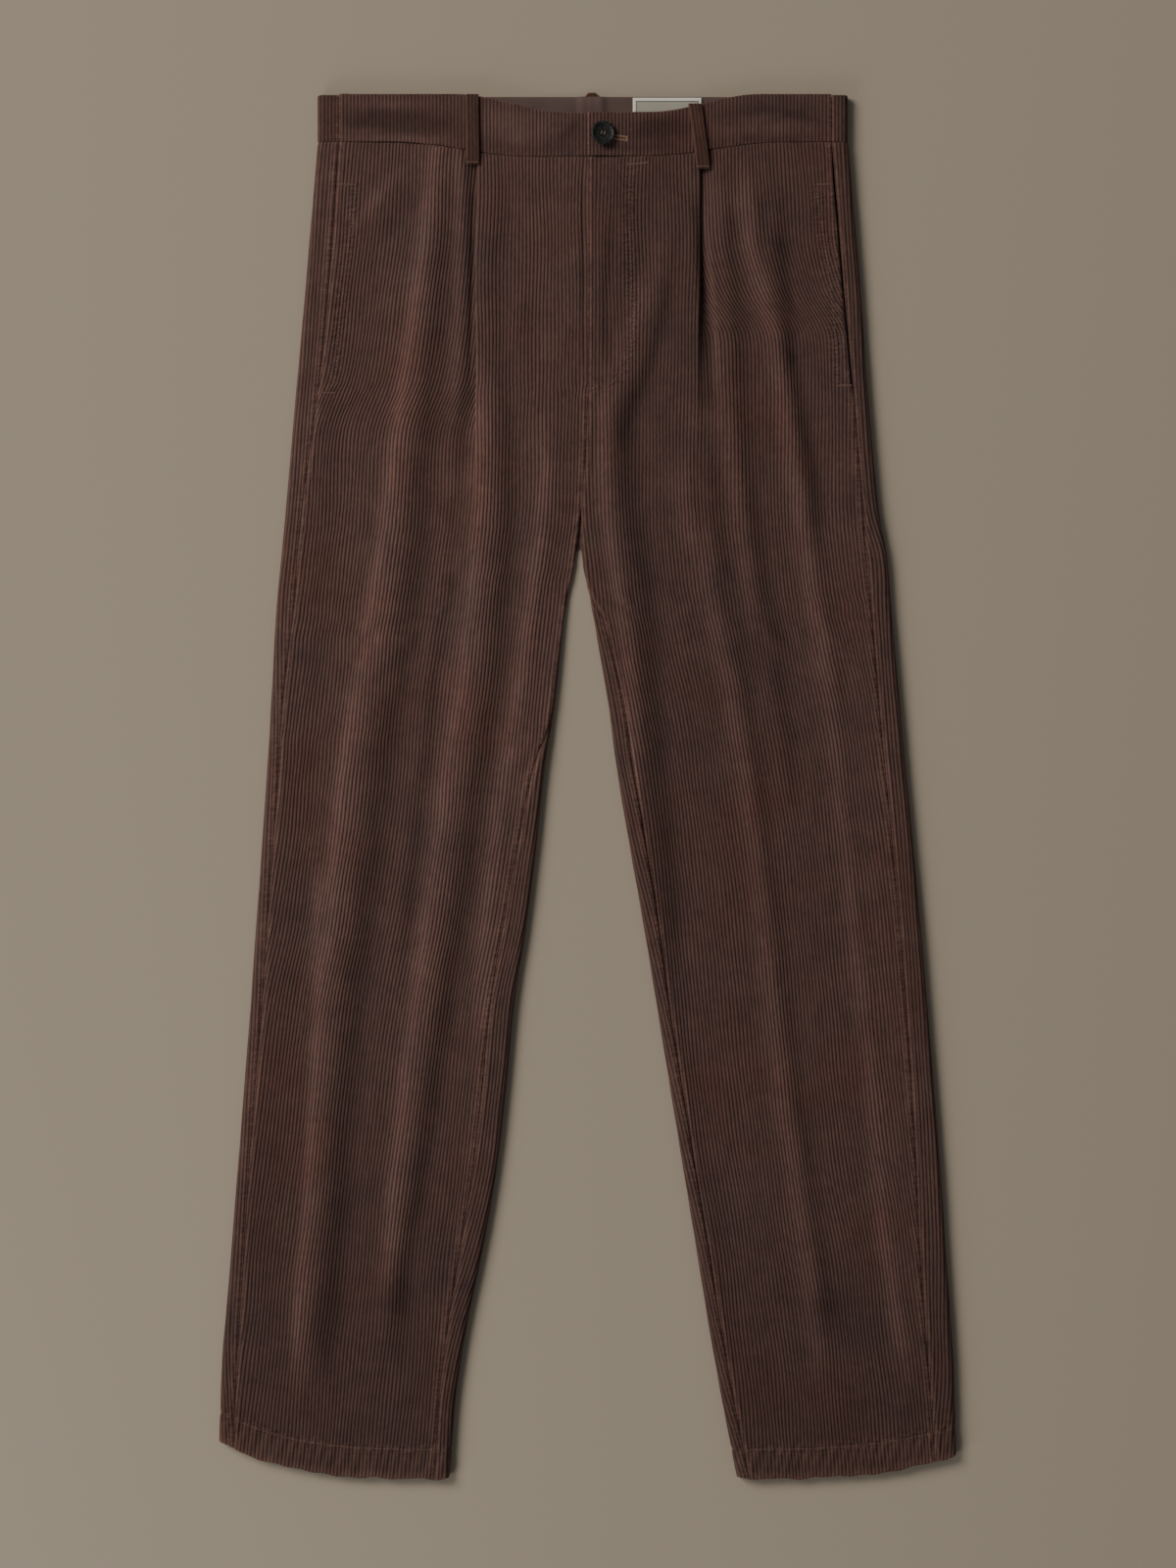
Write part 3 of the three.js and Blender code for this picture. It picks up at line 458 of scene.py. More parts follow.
def front_height(leg: Leg, at: Stations, q: np.ndarray, beside: bool) -> np.ndarray:
    """Height of a front's middle surface.

    A level that falls from the pleat to the base, raised at both rolled edges, plus the folds.

    Args:
        leg: The leg.
        at: Its sizes at each row.
        q: Distances outwards, a row for each row.
        beside: Whether the place is on the side of the pleat that its fold steps down to.

    Returns:
        The heights.
    """
    start = at.pleat_mid - at.step if beside else at.pleat_mid
    reach = PLEAT_TROUGH if beside else PLEAT_REACH
    level = at.base_mid + (start - at.base_mid) * falloff((q - at.grain) / reach)
    lifted = at.fly_lift > 0
    flat = np.where(lifted, FLY_LAP + 2, 0)
    reach = np.where(lifted, FLY_BLEND, ROLL_INNER)
    inner = np.where(q < at.inner_q + flat, 1.0, falloff((q - at.inner_q - flat) / reach))
    under_band = (front_band_top(leg.side, q) - BAND_TOP) * (1 - smooth(0, 45, at.drop)) * (1 - inner)
    outer = falloff((at.seam - q) / ROLL_OUTER)
    height = (level + (at.centre_mid + at.fly_lift - level) * inner + (at.side_mid - level) * outer
              + fold_height(leg, at, q) * (1 - inner) * (1 - outer) + under_band)
    return np.maximum(height, 1.5 * CLOTH + LEAST_GAP)


def row_lift(leg: Leg, at: Stations, q: np.ndarray, is_front: bool) -> np.ndarray:
    """Lift of a row above its nominal drop: the curved waist seam and the sloping hem."""
    middle = 1 - smooth(WAIST_DIP_INNER, WAIST_DIP_OUTER, np.abs(q)) if is_front else 0
    waist = (WAIST_SIDE_LIFT - WAIST_DIP * middle) * (1 - smooth(0, WAIST_FADE, at.drop))
    across = np.clip((q - at.inner_q) / (at.edge - at.inner_q), 0, 1)
    hem = leg.hem_lift * across**leg.hem_power * smooth(HEM_SLOPE_TOP, HEM_DROP - HEM_DEPTH, at.drop)
    return waist + hem


def front_section(leg: Leg, at: Stations) -> tuple[np.ndarray, np.ndarray, np.ndarray]:
    """A front's cross-sections from the inner seam to the outside seam, through the pleat's layers.

    The inner end is flat, or an arc round the inner edge; the pleat is an arc down, a straight lap back
    under the top layer and an arc down again; all of it spreads evenly where the pleat has opened out.

    Args:
        leg: The leg.
        at: Its sizes at each row.

    Returns:
        q and z of the middle surface, and the length along it of the grain line, a row for each row.
    """
    t = np.linspace(0, 1, 25)[None, :]
    radius = at.inner_radius
    angle = (at.front_turn - SEAM_GAP / 2 / radius) * (1 - t)
    arc_q = at.inner_q + CLOTH / 2 + radius - radius * np.sin(angle)
    arc_z = at.centre_mid - radius + radius * np.cos(angle)
    lapped = (at.drop <= FLY_END_DROP) if leg.side < 0 else (at.drop < 0)
    strip = np.where(lapped, FLY_LAP, FLAT_STRIP)
    flat_q = at.inner_q + at.inset + np.where(lapped, -FLY_LAP, SEAM_GAP / 2) + t * strip
    turned = at.front_turn > 0.01
    q0 = np.where(turned, arc_q, flat_q)
    z0 = np.where(turned, arc_z, front_height(leg, at, flat_q, False))

    # shares of the way across when the section is spread evenly; the pleat takes 9 of 20 steps
    even = smooth(*EVEN_DROPS, at.drop)
    first, last = q0[:, -1:], at.mouth

    def spread(q: np.ndarray, steps: np.ndarray) -> np.ndarray:
        """Places moved to their share of the way across, where the section is spread evenly."""
        return lerp(q, lerp(first, last, steps / 20), even)

    fold_start = at.grain - at.radius * np.where(at.turn > np.pi / 2, 1, np.sin(at.turn))
    t = np.linspace(0, 1, 61)[None, 1:]
    q1 = spread(lerp(first, fold_start, t), 5 * t)
    z1 = front_height(leg, at, q1, False)

    t = np.linspace(0, 1, 17)[None, 1:]
    lap_t = np.linspace(0, 1, 9)[None, 1:]
    down = at.turn * t
    back = at.turn * (1 - t)
    end_q = at.radius * np.sin(at.turn) + at.lap * np.cos(at.turn)
    end_z = at.radius * (1 - np.cos(at.turn)) + at.lap * np.sin(at.turn)
    pleat_q = np.hstack([
        at.radius * np.sin(down),
        at.radius * np.sin(at.turn) + at.lap * np.cos(at.turn) * lap_t,
        end_q + at.radius * (np.sin(at.turn) - np.sin(back)),
    ])
    pleat_z = np.hstack([
        at.radius * (1 - np.cos(down)),
        at.radius * (1 - np.cos(at.turn)) + at.lap * np.sin(at.turn) * lap_t,
        end_z + at.radius * (np.cos(back) - np.cos(at.turn)),
    ])
    steps = np.hstack([5 + 4 * t, 9 + lap_t, 10 + 4 * t])
    q2 = spread(fold_start + pleat_q, steps)
    z2 = np.where(even > 0, front_height(leg, at, q2, True), z1[:, -1:] - pleat_z)

    miss = np.where(even > 0, 0, z2[:, -1:] - front_height(leg, at, q2[:, -1:], True))
    t = np.linspace(0, 1, 81)[None, 1:]
    q3 = spread(lerp(fold_start + pleat_q[:, -1:], last, t), 14 + 6 * t)
    z3 = front_height(leg, at, q3, True) + miss * falloff((q3 - q2[:, -1:]) / PLEAT_TROUGH)

    q = np.hstack([q0, q1, q2, q3])
    z = np.hstack([z0, z1, z2, z3])
    length = arc_length(q, z)
    fold_index = q0.shape[1] + q1.shape[1] - 1
    folded = length[:, fold_index] + (at.radius * np.minimum(at.turn, np.pi / 2))[:, 0]
    opened = np.array([np.interp(g, qs, s) for g, qs, s in zip(at.grain[:, 0], q, length)])
    return q, z, np.where(even[:, 0] > 0, opened, folded)


def back_section(leg: Leg, at: Stations) -> tuple[np.ndarray, np.ndarray, np.ndarray]:
    """A back's cross-sections: outside seam, half a turn round the outer edge, floor, up to the inside seam.

    Args:
        leg: The leg.
        at: Its sizes at each row.

    Returns:
        q and z of the middle surface, and the length along it of the grain line, a row for each row.
    """
    radius = (at.side_mid - CLOTH / 2) / 2
    centre_q, centre_z = at.edge - CLOTH / 2 - radius, CLOTH / 2 + radius
    t = np.linspace(0, 1, 13)[None, :-1]
    top_q = lerp(at.seam + SEAM_GAP / 2, centre_q, t)
    angle = np.pi * np.linspace(0, 1, 41)[None, :]
    roll_q = centre_q + radius * np.sin(angle)
    roll_z = centre_z + radius * np.cos(angle)

    inner = at.inner_radius
    arc_centre = at.inner_q + CLOTH / 2 + inner
    turned = at.drop > CROTCH_SPLIT
    at_split = at.drop == CROTCH_SPLIT
    start = np.where(turned, arc_centre, np.where(at_split, arc_centre + 8, at.centre_q + SEAM_GAP / 2 + 20))
    t = np.linspace(0, 1, 61)[None, 1:]
    floor_q = lerp(centre_q, start, t)

    end = np.where(at_split, arc_centre + SEAM_GAP, at.centre_q + SEAM_GAP / 2)
    t = np.linspace(0, 1, 31)[None, 1:]
    on_top = at.back_turn > np.pi - 0.01
    arc_end = np.where(on_top, np.pi, at.back_turn - SEAM_GAP / 2 / inner)
    share = np.where(on_top, np.minimum(t * 6 / 5, 1), t)
    arc_q = arc_centre - inner * np.sin(arc_end * share)
    arc_z = CLOTH / 2 + inner * (1 - np.cos(arc_end * share))
    beyond = np.where(on_top, np.clip(t * 6 - 5, 0, 1), 0)
    arc_q = lerp(arc_q, at.inner_q + at.inset - SEAM_GAP / 2, beyond)
    end_q = np.where(turned, arc_q, lerp(start, end, t))
    end_z = np.where(turned, arc_z, CLOTH / 2)

    q = np.hstack([top_q, roll_q, floor_q, end_q])
    z = np.hstack([top_q * 0 + centre_z + radius, roll_z, floor_q * 0 + CLOTH / 2, end_z])
    length = arc_length(q, z)
    floor_index = top_q.shape[1] + roll_q.shape[1] - 1
    grain = lerp(leg.back_grain[0], leg.back_grain[1], at.drop[:, 0] / HEM_DROP)
    return q, z, length[:, floor_index] + q[:, floor_index] - grain


def arc_length(q: np.ndarray, z: np.ndarray) -> np.ndarray:
    """Length along each row from its first point."""
    steps = np.hypot(np.diff(q, axis=1), np.diff(z, axis=1))
    return np.hstack([np.zeros((len(q), 1)), np.cumsum(steps, axis=1)])


@dataclass
class Cloth:
    """A piece's middle surface on a grid, rows down it and columns across its ribs.

    mid and normal have a row, a column and x, y, z; across and down are lengths on the cloth; near is the
    distance from its side edges; first and last are each row's first and last column in use.
    """

    mid: np.ndarray
    normal: np.ndarray
    across: np.ndarray
    down: np.ndarray
    near: np.ndarray
    first: np.ndarray
    last: np.ndarray


def panel_drops() -> np.ndarray:
    """Drops of a panel's mesh rows: close at the waist, the fly's end, the crotch and the hem."""
    spans = (
        (0, 6, 4), (6, 24, 4), (24, 160, 16), (160, 210, 9), (210, 276, 8), (276, 372, 22), (372, 990, 62),
        (990, 1012, 4), (1012, 1024, 8), (1024, HEM_DROP - 2, 3), (HEM_DROP - 2, HEM_DROP - HEM_TIP, 1),
    )
    parts = [np.linspace(a, b, n, endpoint=False) for a, b, n in spans]
    return np.concatenate([*parts, [HEM_DROP - HEM_TIP]])


def weave(leg: Leg, section: tuple[np.ndarray, np.ndarray, np.ndarray], is_front: bool) -> Cloth:
    """Lay mesh columns along the ribs, which run parallel to the grain line through every fold.

    Each row of the section is measured along its length, and column k lies k steps from the grain line.

    Args:
        leg: The leg.
        section: q, z and the grain line's length at the solids' rows.
        is_front: Whether it is a front panel.

    Returns:
        The panel's cloth.
    """
    drops = panel_drops()
    q, z, grain = (along(ROWS, part, drops) for part in section)
    at = Stations(leg, drops)
    y = WAIST_Y - at.drop + row_lift(leg, at, q, is_front)
    tangent_q, tangent_z = np.gradient(q, axis=1), np.gradient(z, axis=1)
    size = np.maximum(np.hypot(tangent_q, tangent_z), 1e-9)
    length = arc_length(q, z)
    total = length[:, -1:]
    low = math.floor((-grain / RIB_STEP).min())
    high = math.ceil(((total - grain) / RIB_STEP).max())
    target = grain + np.arange(low, high + 1)[None, :] * RIB_STEP
    nominal = np.clip(target, 0, total)
    row = drops[:, None]
    # the ribs wander by about 1 mm, in a slow wave and a quicker one, but not at the seams
    wander = 0.8 * np.sin(target / 19 + row / 43 + 1.4 * np.sin(row / 71) + leg.side)
    wander = wander + 0.35 * np.sin(target / 7.1 - row / 17 + 2 * np.sin(target / 31))
    place = nominal + wander * smooth(0, 16, nominal) * smooth(0, 16, total - nominal)
    channels = (q, y, z, -tangent_z / size, tangent_q / size)
    q, y, z, nq, nz = (
        np.array([np.interp(p, s, c) for p, s, c in zip(place, length, channel)]) for channel in channels
    )
    size = np.hypot(nq, nz)
    first = np.maximum((target <= 0).sum(axis=1) - 1, 0)
    last = np.minimum((target < total).sum(axis=1), target.shape[1] - 1)
    return Cloth(
        mid=np.dstack([leg.side * q, y, z]),
        normal=np.dstack([leg.side * nq / size, 0 * q, nz / size]),
        across=nominal - grain,
        down=np.repeat(drops[:, None], target.shape[1], axis=1),
        near=np.minimum(nominal, total - nominal),
        first=first,
        last=last,
    )


def path_distance(path: Sequence[tuple[float, float]], x: np.ndarray,
                  y: np.ndarray) -> tuple[np.ndarray, np.ndarray]:
    """Distance of places from a path of x and y, and the share of the path at their nearest points.

    Args:
        path: x and y of the path.
        x: Places across.
        y: Places along.

    Returns:
        The distances and the shares.
    """
    points = np.array(path, dtype=float)
    spans = np.hypot(*np.diff(points, axis=0).T)
    starts = np.concatenate([[0], np.cumsum(spans)])
    best = np.full(x.shape, np.inf)
    share = np.zeros_like(x)
    for a, b, span, start in zip(points[:-1], points[1:], spans, starts):
        t = np.clip(((x - a[0]) * (b[0] - a[0]) + (y - a[1]) * (b[1] - a[1])) / span**2, 0, 1)
        away = np.hypot(x - lerp(a[0], b[0], t), y - lerp(a[1], b[1], t))
        closer = away < best
        best = np.where(closer, away, best)
        share = np.where(closer, (start + t * span) / starts[-1], share)
    return best, share


def crease_height(creases: Sequence[Crease], x: np.ndarray, y: np.ndarray) -> np.ndarray:
    """Height of the creases, each faded at its ends: its height times exp(-(distance / width)^2).

    Args:
        creases: The creases.
        x: Places across.
        y: Places along.

    Returns:
        The heights.
    """
    total = np.zeros_like(x)
    for crease in creases:
        best, share = path_distance(crease.path, x, y)
        faded = np.sin(np.pi * (0.08 + 0.84 * share))
        total += crease.height * np.exp(-((best / crease.width) ** 2)) * faded
    return total


def rib(across: np.ndarray) -> np.ndarray:
    """Rib profile, 1 on a crest and 0 in a valley: |sin(pi * across / pitch)| to a power below 1."""
    return np.abs(np.sin(np.pi * across / RIB_PITCH)) ** RIB_POWER


def rib_relief(across: np.ndarray, height: np.ndarray, strength: np.ndarray) -> np.ndarray:
    """How far the ribs stand out of the plain cloth; near the floor only their valleys are cut."""
    rise = RIB_RISE * smooth(0.4, 3.0, height)
    return (rib(across) * (rise + RIB_DEPTH) - RIB_DEPTH) * strength


@dataclass
class Shell:
    """Outer and inner faces of a piece of cloth on one grid, with what its finish reads."""

    outer: np.ndarray
    inner: np.ndarray
    first: np.ndarray
    last: np.ndarray
    across: np.ndarray
    down: np.ndarray
    wear: np.ndarray
    nap: np.ndarray | None = None
    sewn: np.ndarray | None = None
    inner_step: int = 4

    def triangles(self) -> np.ndarray:
        """Closed faces: outer grid, a coarser inner grid, both sides and both ends; empty ones dropped."""
        rows, columns = self.across.shape
        k = np.arange(columns)[None, :]
        base = np.arange(rows)[:, None] * columns
        first, last = self.first[:, None], self.last[:, None]
        outer = base + np.clip(k, first, last)
        coarse = np.round(k / self.inner_step).astype(int) * self.inner_step
        inner = rows * columns + base + np.clip(coarse, first, last)

        def quads(a: np.ndarray, b: np.ndarray, c: np.ndarray, d: np.ndarray) -> np.ndarray:
            """Faces with these four corners, one for each entry."""
            return np.stack([a.ravel(), b.ravel(), c.ravel(), d.ravel()], axis=1)

        parts = [
            quads(outer[:-1, :-1], outer[1:, :-1], outer[1:, 1:], outer[:-1, 1:]),
            quads(inner[:-1, :-1], inner[:-1, 1:], inner[1:, 1:], inner[1:, :-1]),
            quads(outer[:-1, 0], inner[:-1, 0], inner[1:, 0], outer[1:, 0]),
            quads(outer[:-1, -1], outer[1:, -1], inner[1:, -1], inner[:-1, -1]),
            quads(outer[0, :-1], outer[0, 1:], inner[0, 1:], inner[0, :-1]),
            quads(outer[-1, :-1], inner[-1, :-1], inner[-1, 1:], outer[-1, 1:]),
        ]
        quad = np.vstack(parts)
        faces = np.vstack([quad[:, [0, 1, 2]], quad[:, [0, 2, 3]]])
        a, b, c = faces.T
        return faces[(a != b) & (b != c) & (c != a)]

    def build(self, name: str) -> bpy.types.Object:
        """Write the mesh, with a map in millimetres of cloth and the values that its finish reads."""
        points = np.vstack([self.outer.reshape(-1, 3), self.inner.reshape(-1, 3)])
        nap = 0 * self.wear if self.nap is None else self.nap
        sewn = 0 * self.wear + FAR_FROM_SEWING if self.sewn is None else self.sewn
        parts = (self.across, self.down, self.wear, nap, sewn)
        across, down, wear, nap, sewn = (np.concatenate([part.ravel(), part.ravel()]) for part in parts)
        plane = np.stack([across, down], axis=1)
        return write_mesh(name, points, self.triangles(), plane, {"wear": wear, "nap": nap, "sewn": sewn})


def write_mesh(name: str, points: np.ndarray, faces: np.ndarray, plane: np.ndarray | None = None,
               values: dict[str, np.ndarray] | None = None) -> bpy.types.Object:
    """Write triangles as a smooth mesh object at the origin, turned outwards.

    Args:
        name: The piece's name.
        points: Its points in millimetres.
        faces: Its triangles.
        plane: The two lengths on the cloth of each point, for its map.
        values: Attributes by name, a number for each point.

    Returns:
        The object.
    """
    used, faces = np.unique(faces, return_inverse=True)
    faces = faces.reshape(-1, 3)
    points = points[used] + ORIGIN
    a, b, c = points[faces[:, 0]], points[faces[:, 1]], points[faces[:, 2]]
    if np.einsum("ij,ij->i", a, np.cross(b, c)).sum() < 0:
        faces = faces[:, ::-1]
    mesh = bpy.data.meshes.new(name)
    mesh.vertices.add(len(points))
    mesh.vertices.foreach_set("co", (points * MM).astype(np.float32).ravel())
    mesh.loops.add(faces.size)
    mesh.loops.foreach_set("vertex_index", faces.ravel().astype(np.int32))
    mesh.polygons.add(len(faces))
    mesh.polygons.foreach_set("loop_start", np.arange(0, faces.size, 3, dtype=np.int32))
    mesh.polygons.foreach_set("loop_total", np.full(len(faces), 3, dtype=np.int32))
    mesh.polygons.foreach_set("use_smooth", np.ones(len(faces), dtype=bool))
    if plane is not None:
        layer = mesh.uv_layers.new(name="cloth")
        layer.data.foreach_set("uv", plane[used][faces.ravel()].astype(np.float32).ravel())
    for key, value in (values or {}).items():
        attribute = mesh.attributes.new(key, "FLOAT", "POINT")
        attribute.data.foreach_set("value", value[used].astype(np.float32))
    mesh.update(calc_edges=True)
    mesh.validate()
    piece = bpy.data.objects.new(name, mesh)
    bpy.context.scene.collection.objects.link(piece)
    return piece


@dataclass(frozen=True)
class Tip:
    """A folded edge of cloth: a few rows that turn over from the outer to the inner face."""

    angles: tuple[float, ...] = (32.0, 60.0, 84.0)

    def add(self, cloth: Cloth, reach: float, at_start: bool,
            way: float) -> tuple[Cloth, np.ndarray, np.ndarray]:
        """Repeat the cloth's end row once for each angle.

        Args:
            cloth: The cloth.
            reach: How far the fold reaches past the end row.
            at_start: Whether it is the first row's end.
            way: +1 if the edge faces the waist, -1 if it faces the hem.

        Returns:
            The longer cloth, the angle of each row, and each row's reach along y.
        """
        row = 0 if at_start else -1
        count = len(self.angles)
        turns = np.radians(self.angles)[::-1] if at_start else np.radians(self.angles)

        def grow(values: np.ndarray) -> np.ndarray:
            """Values with the end row repeated."""
            extra = np.repeat(values[row][None], count, axis=0)
            return np.concatenate([extra, values] if at_start else [values, extra])

        longer = Cloth(*(grow(getattr(cloth, name)) for name in cloth.__dataclass_fields__))
        plain = np.zeros(len(cloth.down))
        angle = np.concatenate([turns, plain] if at_start else [plain, turns])
        return longer, angle, np.sin(angle) * reach * way


def wall(cloth: Cloth, angle: np.ndarray, tip_y: np.ndarray, out: np.ndarray, inward: np.ndarray,
         relief: np.ndarray) -> tuple[np.ndarray, np.ndarray]:
    """Outer and inner faces: the middle moved out and in, turned towards y on the rows of a folded edge."""
    cos, sin = np.cos(angle)[:, None, None], np.sin(angle)[:, None, None]
    toward = np.zeros_like(cloth.mid)
    toward[..., 1] = tip_y[:, None] + np.sign(tip_y)[:, None] * sin[..., 0] * relief
    outer = cloth.mid + cloth.normal * (out + relief)[..., None] * cos + toward
    toward = np.zeros_like(cloth.mid)
    toward[..., 1] = tip_y[:, None]
    inner = cloth.mid - cloth.normal * inward[..., None] * cos + toward
    return outer, inner


def linear(code: str) -> tuple[float, float, float, float]:
    """An sRGB hex colour as linear red, green, blue and alpha."""
    parts = [int(code[i:i + 2], 16) / 255 for i in (1, 3, 5)]
    values = [c / 12.92 if c <= 0.04045 else ((c + 0.055) / 1.055) ** 2.4 for c in parts]
    return (*values, 1.0)


def add(tree: bpy.types.NodeTree, kind: str, inputs: dict | None = None, **settings: Any) -> bpy.types.Node:
    """Add a node, make its settings, and set or link its inputs.

    Args:
        tree: The node tree.
        kind: The shader node's type, without its prefix.
        inputs: For each input, a value, or the socket it is linked from, or a node for its first output.
        **settings: The node's own settings.

    Returns:
        The node.
    """
    node = tree.nodes.new(f"ShaderNode{kind}")
    for name, value in settings.items():
        setattr(node, name, value)
    for key, value in (inputs or {}).items():
        value = value.outputs[0] if isinstance(value, bpy.types.Node) else value
        if isinstance(value, bpy.types.NodeSocket):
            tree.links.new(value, node.inputs[key])
        else:
            node.inputs[key].default_value = value
    return node


def new_material(name: str) -> tuple[bpy.types.Material, bpy.types.NodeTree]:
    """A material with an empty node tree, and that tree."""
    material = bpy.data.materials.new(name)
    material.use_nodes = True
    material.node_tree.nodes.clear()
    return material, material.node_tree


@dataclass(frozen=True)
class Corduroy:
    """Cotton corduroy: cut pile in ribs, dull and soft, with a faint sheen and rubbed, paler edges."""

    name: str = "cotton_corduroy"
    crest: str = "#634b46"
    # valley is the colour of the rib valleys, darker than the crests: painted shade in the valleys
    valley: str = "#312526"
    cool: str = "#4d3f3f"
    red: str = "#65423a"
    worn: str = "#8f6d62"

    def build(self) -> bpy.types.Material:
        """Make the material. Its patterns read the cloth map, which is in millimetres of cloth."""
        material, tree = new_material(self.name)
        cloth_map = add(tree, "UVMap", uv_map="cloth")
        parts = add(tree, "SeparateXYZ", {0: cloth_map})
        # valley colour in the rib valleys and crest colour on the crests: painted shade in the rib valleys,
        # on top of their real relief
        phase = add(tree, "Math", {0: parts, 1: math.pi / RIB_PITCH}, operation="MULTIPLY")
        wave = add(tree, "Math", {0: phase}, operation="SINE")
        pile = add(tree, "Math", {0: wave}, operation="ABSOLUTE")

        # nap lies along the ribs: tufts about 0.5 mm across and 4 mm long
        tufts_at = add(tree, "VectorMath", {0: cloth_map, 1: (1.1, 0.16, 1.0)}, operation="MULTIPLY")
        tufts = add(tree, "TexNoise", {"Vector": tufts_at, "Scale": 1.0, "Detail": 3.0,
                                       "Roughness": 0.6})
        streaks = add(tree, "MapRange", {0: tufts, 1: 0.3, 2: 0.7, 3: -0.2, 4: 0.2})
        by_rib = add(tree, "VectorMath", {0: cloth_map, 1: (0.7, 0.03, 1.0)}, operation="MULTIPLY")
        ribs = add(tree, "TexNoise", {"Vector": by_rib, "Scale": 1.0, "Detail": 2.0})
        drift = add(tree, "MapRange", {0: ribs, 1: 0.3, 2: 0.7, 3: -0.14, 4: 0.14})
        mottled = add(tree, "Math", {0: drift, 1: streaks}, operation="ADD")
        height = add(tree, "Math", {0: pile, 1: mottled}, operation="ADD", use_clamp=True)
        ribbed = add(tree, "Mix", {0: height, 6: linear(self.valley), 7: linear(self.crest)},
                     data_type="RGBA")

        # shades of dye and brushed nap, patches of 30 to 90 mm, on Object coordinates in metres
        place = add(tree, "TexCoord").outputs["Object"]
        patches = add(tree, "TexNoise", {"Vector": place, "Scale": 11.0, "Detail": 3.0,
                                         "Roughness": 0.55})
        warm = add(tree, "MapRange", {0: patches, 1: 0.5, 2: 0.72, 3: 0.0, 4: 0.5})
        cold = add(tree, "MapRange", {0: patches, 1: 0.46, 2: 0.28, 3: 0.0, 4: 0.5})
        red_cloth = add(tree, "Mix", {0: height, 6: linear(self.valley), 7: linear(self.red)},
                        data_type="RGBA")
        cool_cloth = add(tree, "Mix", {0: height, 6: linear(self.valley), 7: linear(self.cool)},
                         data_type="RGBA")
        with_red = add(tree, "Mix", {0: warm, 6: ribbed.outputs[2], 7: red_cloth.outputs[2]},
                       data_type="RGBA")
        with_cool = add(tree, "Mix", {0: cold, 6: with_red.outputs[2], 7: cool_cloth.outputs[2]},
                        data_type="RGBA")

        # rubbed seams and folds, broken up by the weave
        rubbed = add(tree, "Attribute", attribute_name="wear")
        uneven = add(tree, "TexNoise", {"Vector": place, "Scale": 420.0, "Detail": 2.0})
        broken = add(tree, "MapRange", {0: uneven, 1: 0.25, 2: 0.7, 3: 0.45, 4: 1.0})
        amount = add(tree, "Math", {0: rubbed.outputs["Fac"], 1: broken}, operation="MULTIPLY",
                     use_clamp=True)
        colour = add(tree, "Mix", {0: amount, 6: with_cool.outputs[2], 7: linear(self.worn)},
                     data_type="RGBA")

        # thread gathers the cloth beside sewing: puckers 8 mm long and 2.5 mm apart within 9 mm of it
        away = add(tree, "Attribute", attribute_name="sewn")
        beside = add(tree, "MapRange", {0: away.outputs["Fac"], 1: 9.0, 2: 1.5},
                     interpolation_type="SMOOTHSTEP")
        folds_at = add(tree, "VectorMath", {0: place, 1: (120.0, 400.0, 120.0)}, operation="MULTIPLY")
        gathers = add(tree, "TexNoise", {"Vector": folds_at, "Scale": 1.0, "Detail": 2.0,
                                         "Roughness": 0.45})
        gathered = add(tree, "MapRange", {0: gathers, 1: 0.32, 2: 0.68, 3: -1.0, 4: 1.0})
        pucker = add(tree, "Math", {0: gathered, 1: beside}, operation="MULTIPLY")
        line = add(tree, "MapRange", {0: away.outputs["Fac"], 1: 1.1, 2: 0.3, 3: 0.0, 4: -0.2},
                   interpolation_type="SMOOTHSTEP")
        relief = add(tree, "Math", {0: pucker, 1: line}, operation="ADD")
        # painted light and shade on the puckers: paler on their crests, darker in their troughs
        pucker_shade = add(tree, "Math", {0: pucker, 1: 0.2, 2: 1.0}, operation="MULTIPLY_ADD")

        # painted light and shade: the cloth is paler on fold ridges and darker in fold troughs and creases,
        # with each piece's flat tone offset added
        shade_and_tone_attribute = add(tree, "Attribute", attribute_name="nap")
        paler = add(tree, "MapRange", {0: shade_and_tone_attribute.outputs["Fac"], 1: -2.0, 2: 1.0, 3: 0.24, 4: 1.38})
        strokes = add(tree, "TexNoise", {"Vector": place, "Scale": 55.0, "Detail": 4.0,
                                         "Roughness": 0.6, "Distortion": 0.8})
        brushed = add(tree, "MapRange", {0: strokes, 1: 0.3, 2: 0.7, 3: 0.88, 4: 1.12})
        tone = add(tree, "Math", {0: paler, 1: brushed}, operation="MULTIPLY")
        tone = add(tree, "Math", {0: tone, 1: pucker_shade}, operation="MULTIPLY")
        colour = add(tree, "VectorMath", {0: colour.outputs[2], "Scale": tone}, operation="SCALE")

        # single tufts about 0.4 mm, drawn as bump
        grain = add(tree, "TexNoise", {"Vector": place, "Scale": 1600.0, "Detail": 2.0})
        waves = add(tree, "Bump", {"Strength": 1.0, "Distance": 0.0004, "Height": relief})
        bump = add(tree, "Bump", {"Strength": 0.35, "Distance": 0.0003, "Height": grain,
                                  "Normal": waves})
        shader = add(tree, "BsdfPrincipled", {
            "Base Color": colour, "Roughness": 0.92, "IOR": 1.45, "Specular IOR Level": 0.25,
            "Sheen Weight": 0.22, "Sheen Roughness": 0.45, "Sheen Tint": linear("#c9a79c"),
            "Normal": bump,
        })
        add(tree, "OutputMaterial", {0: shader})
        return material


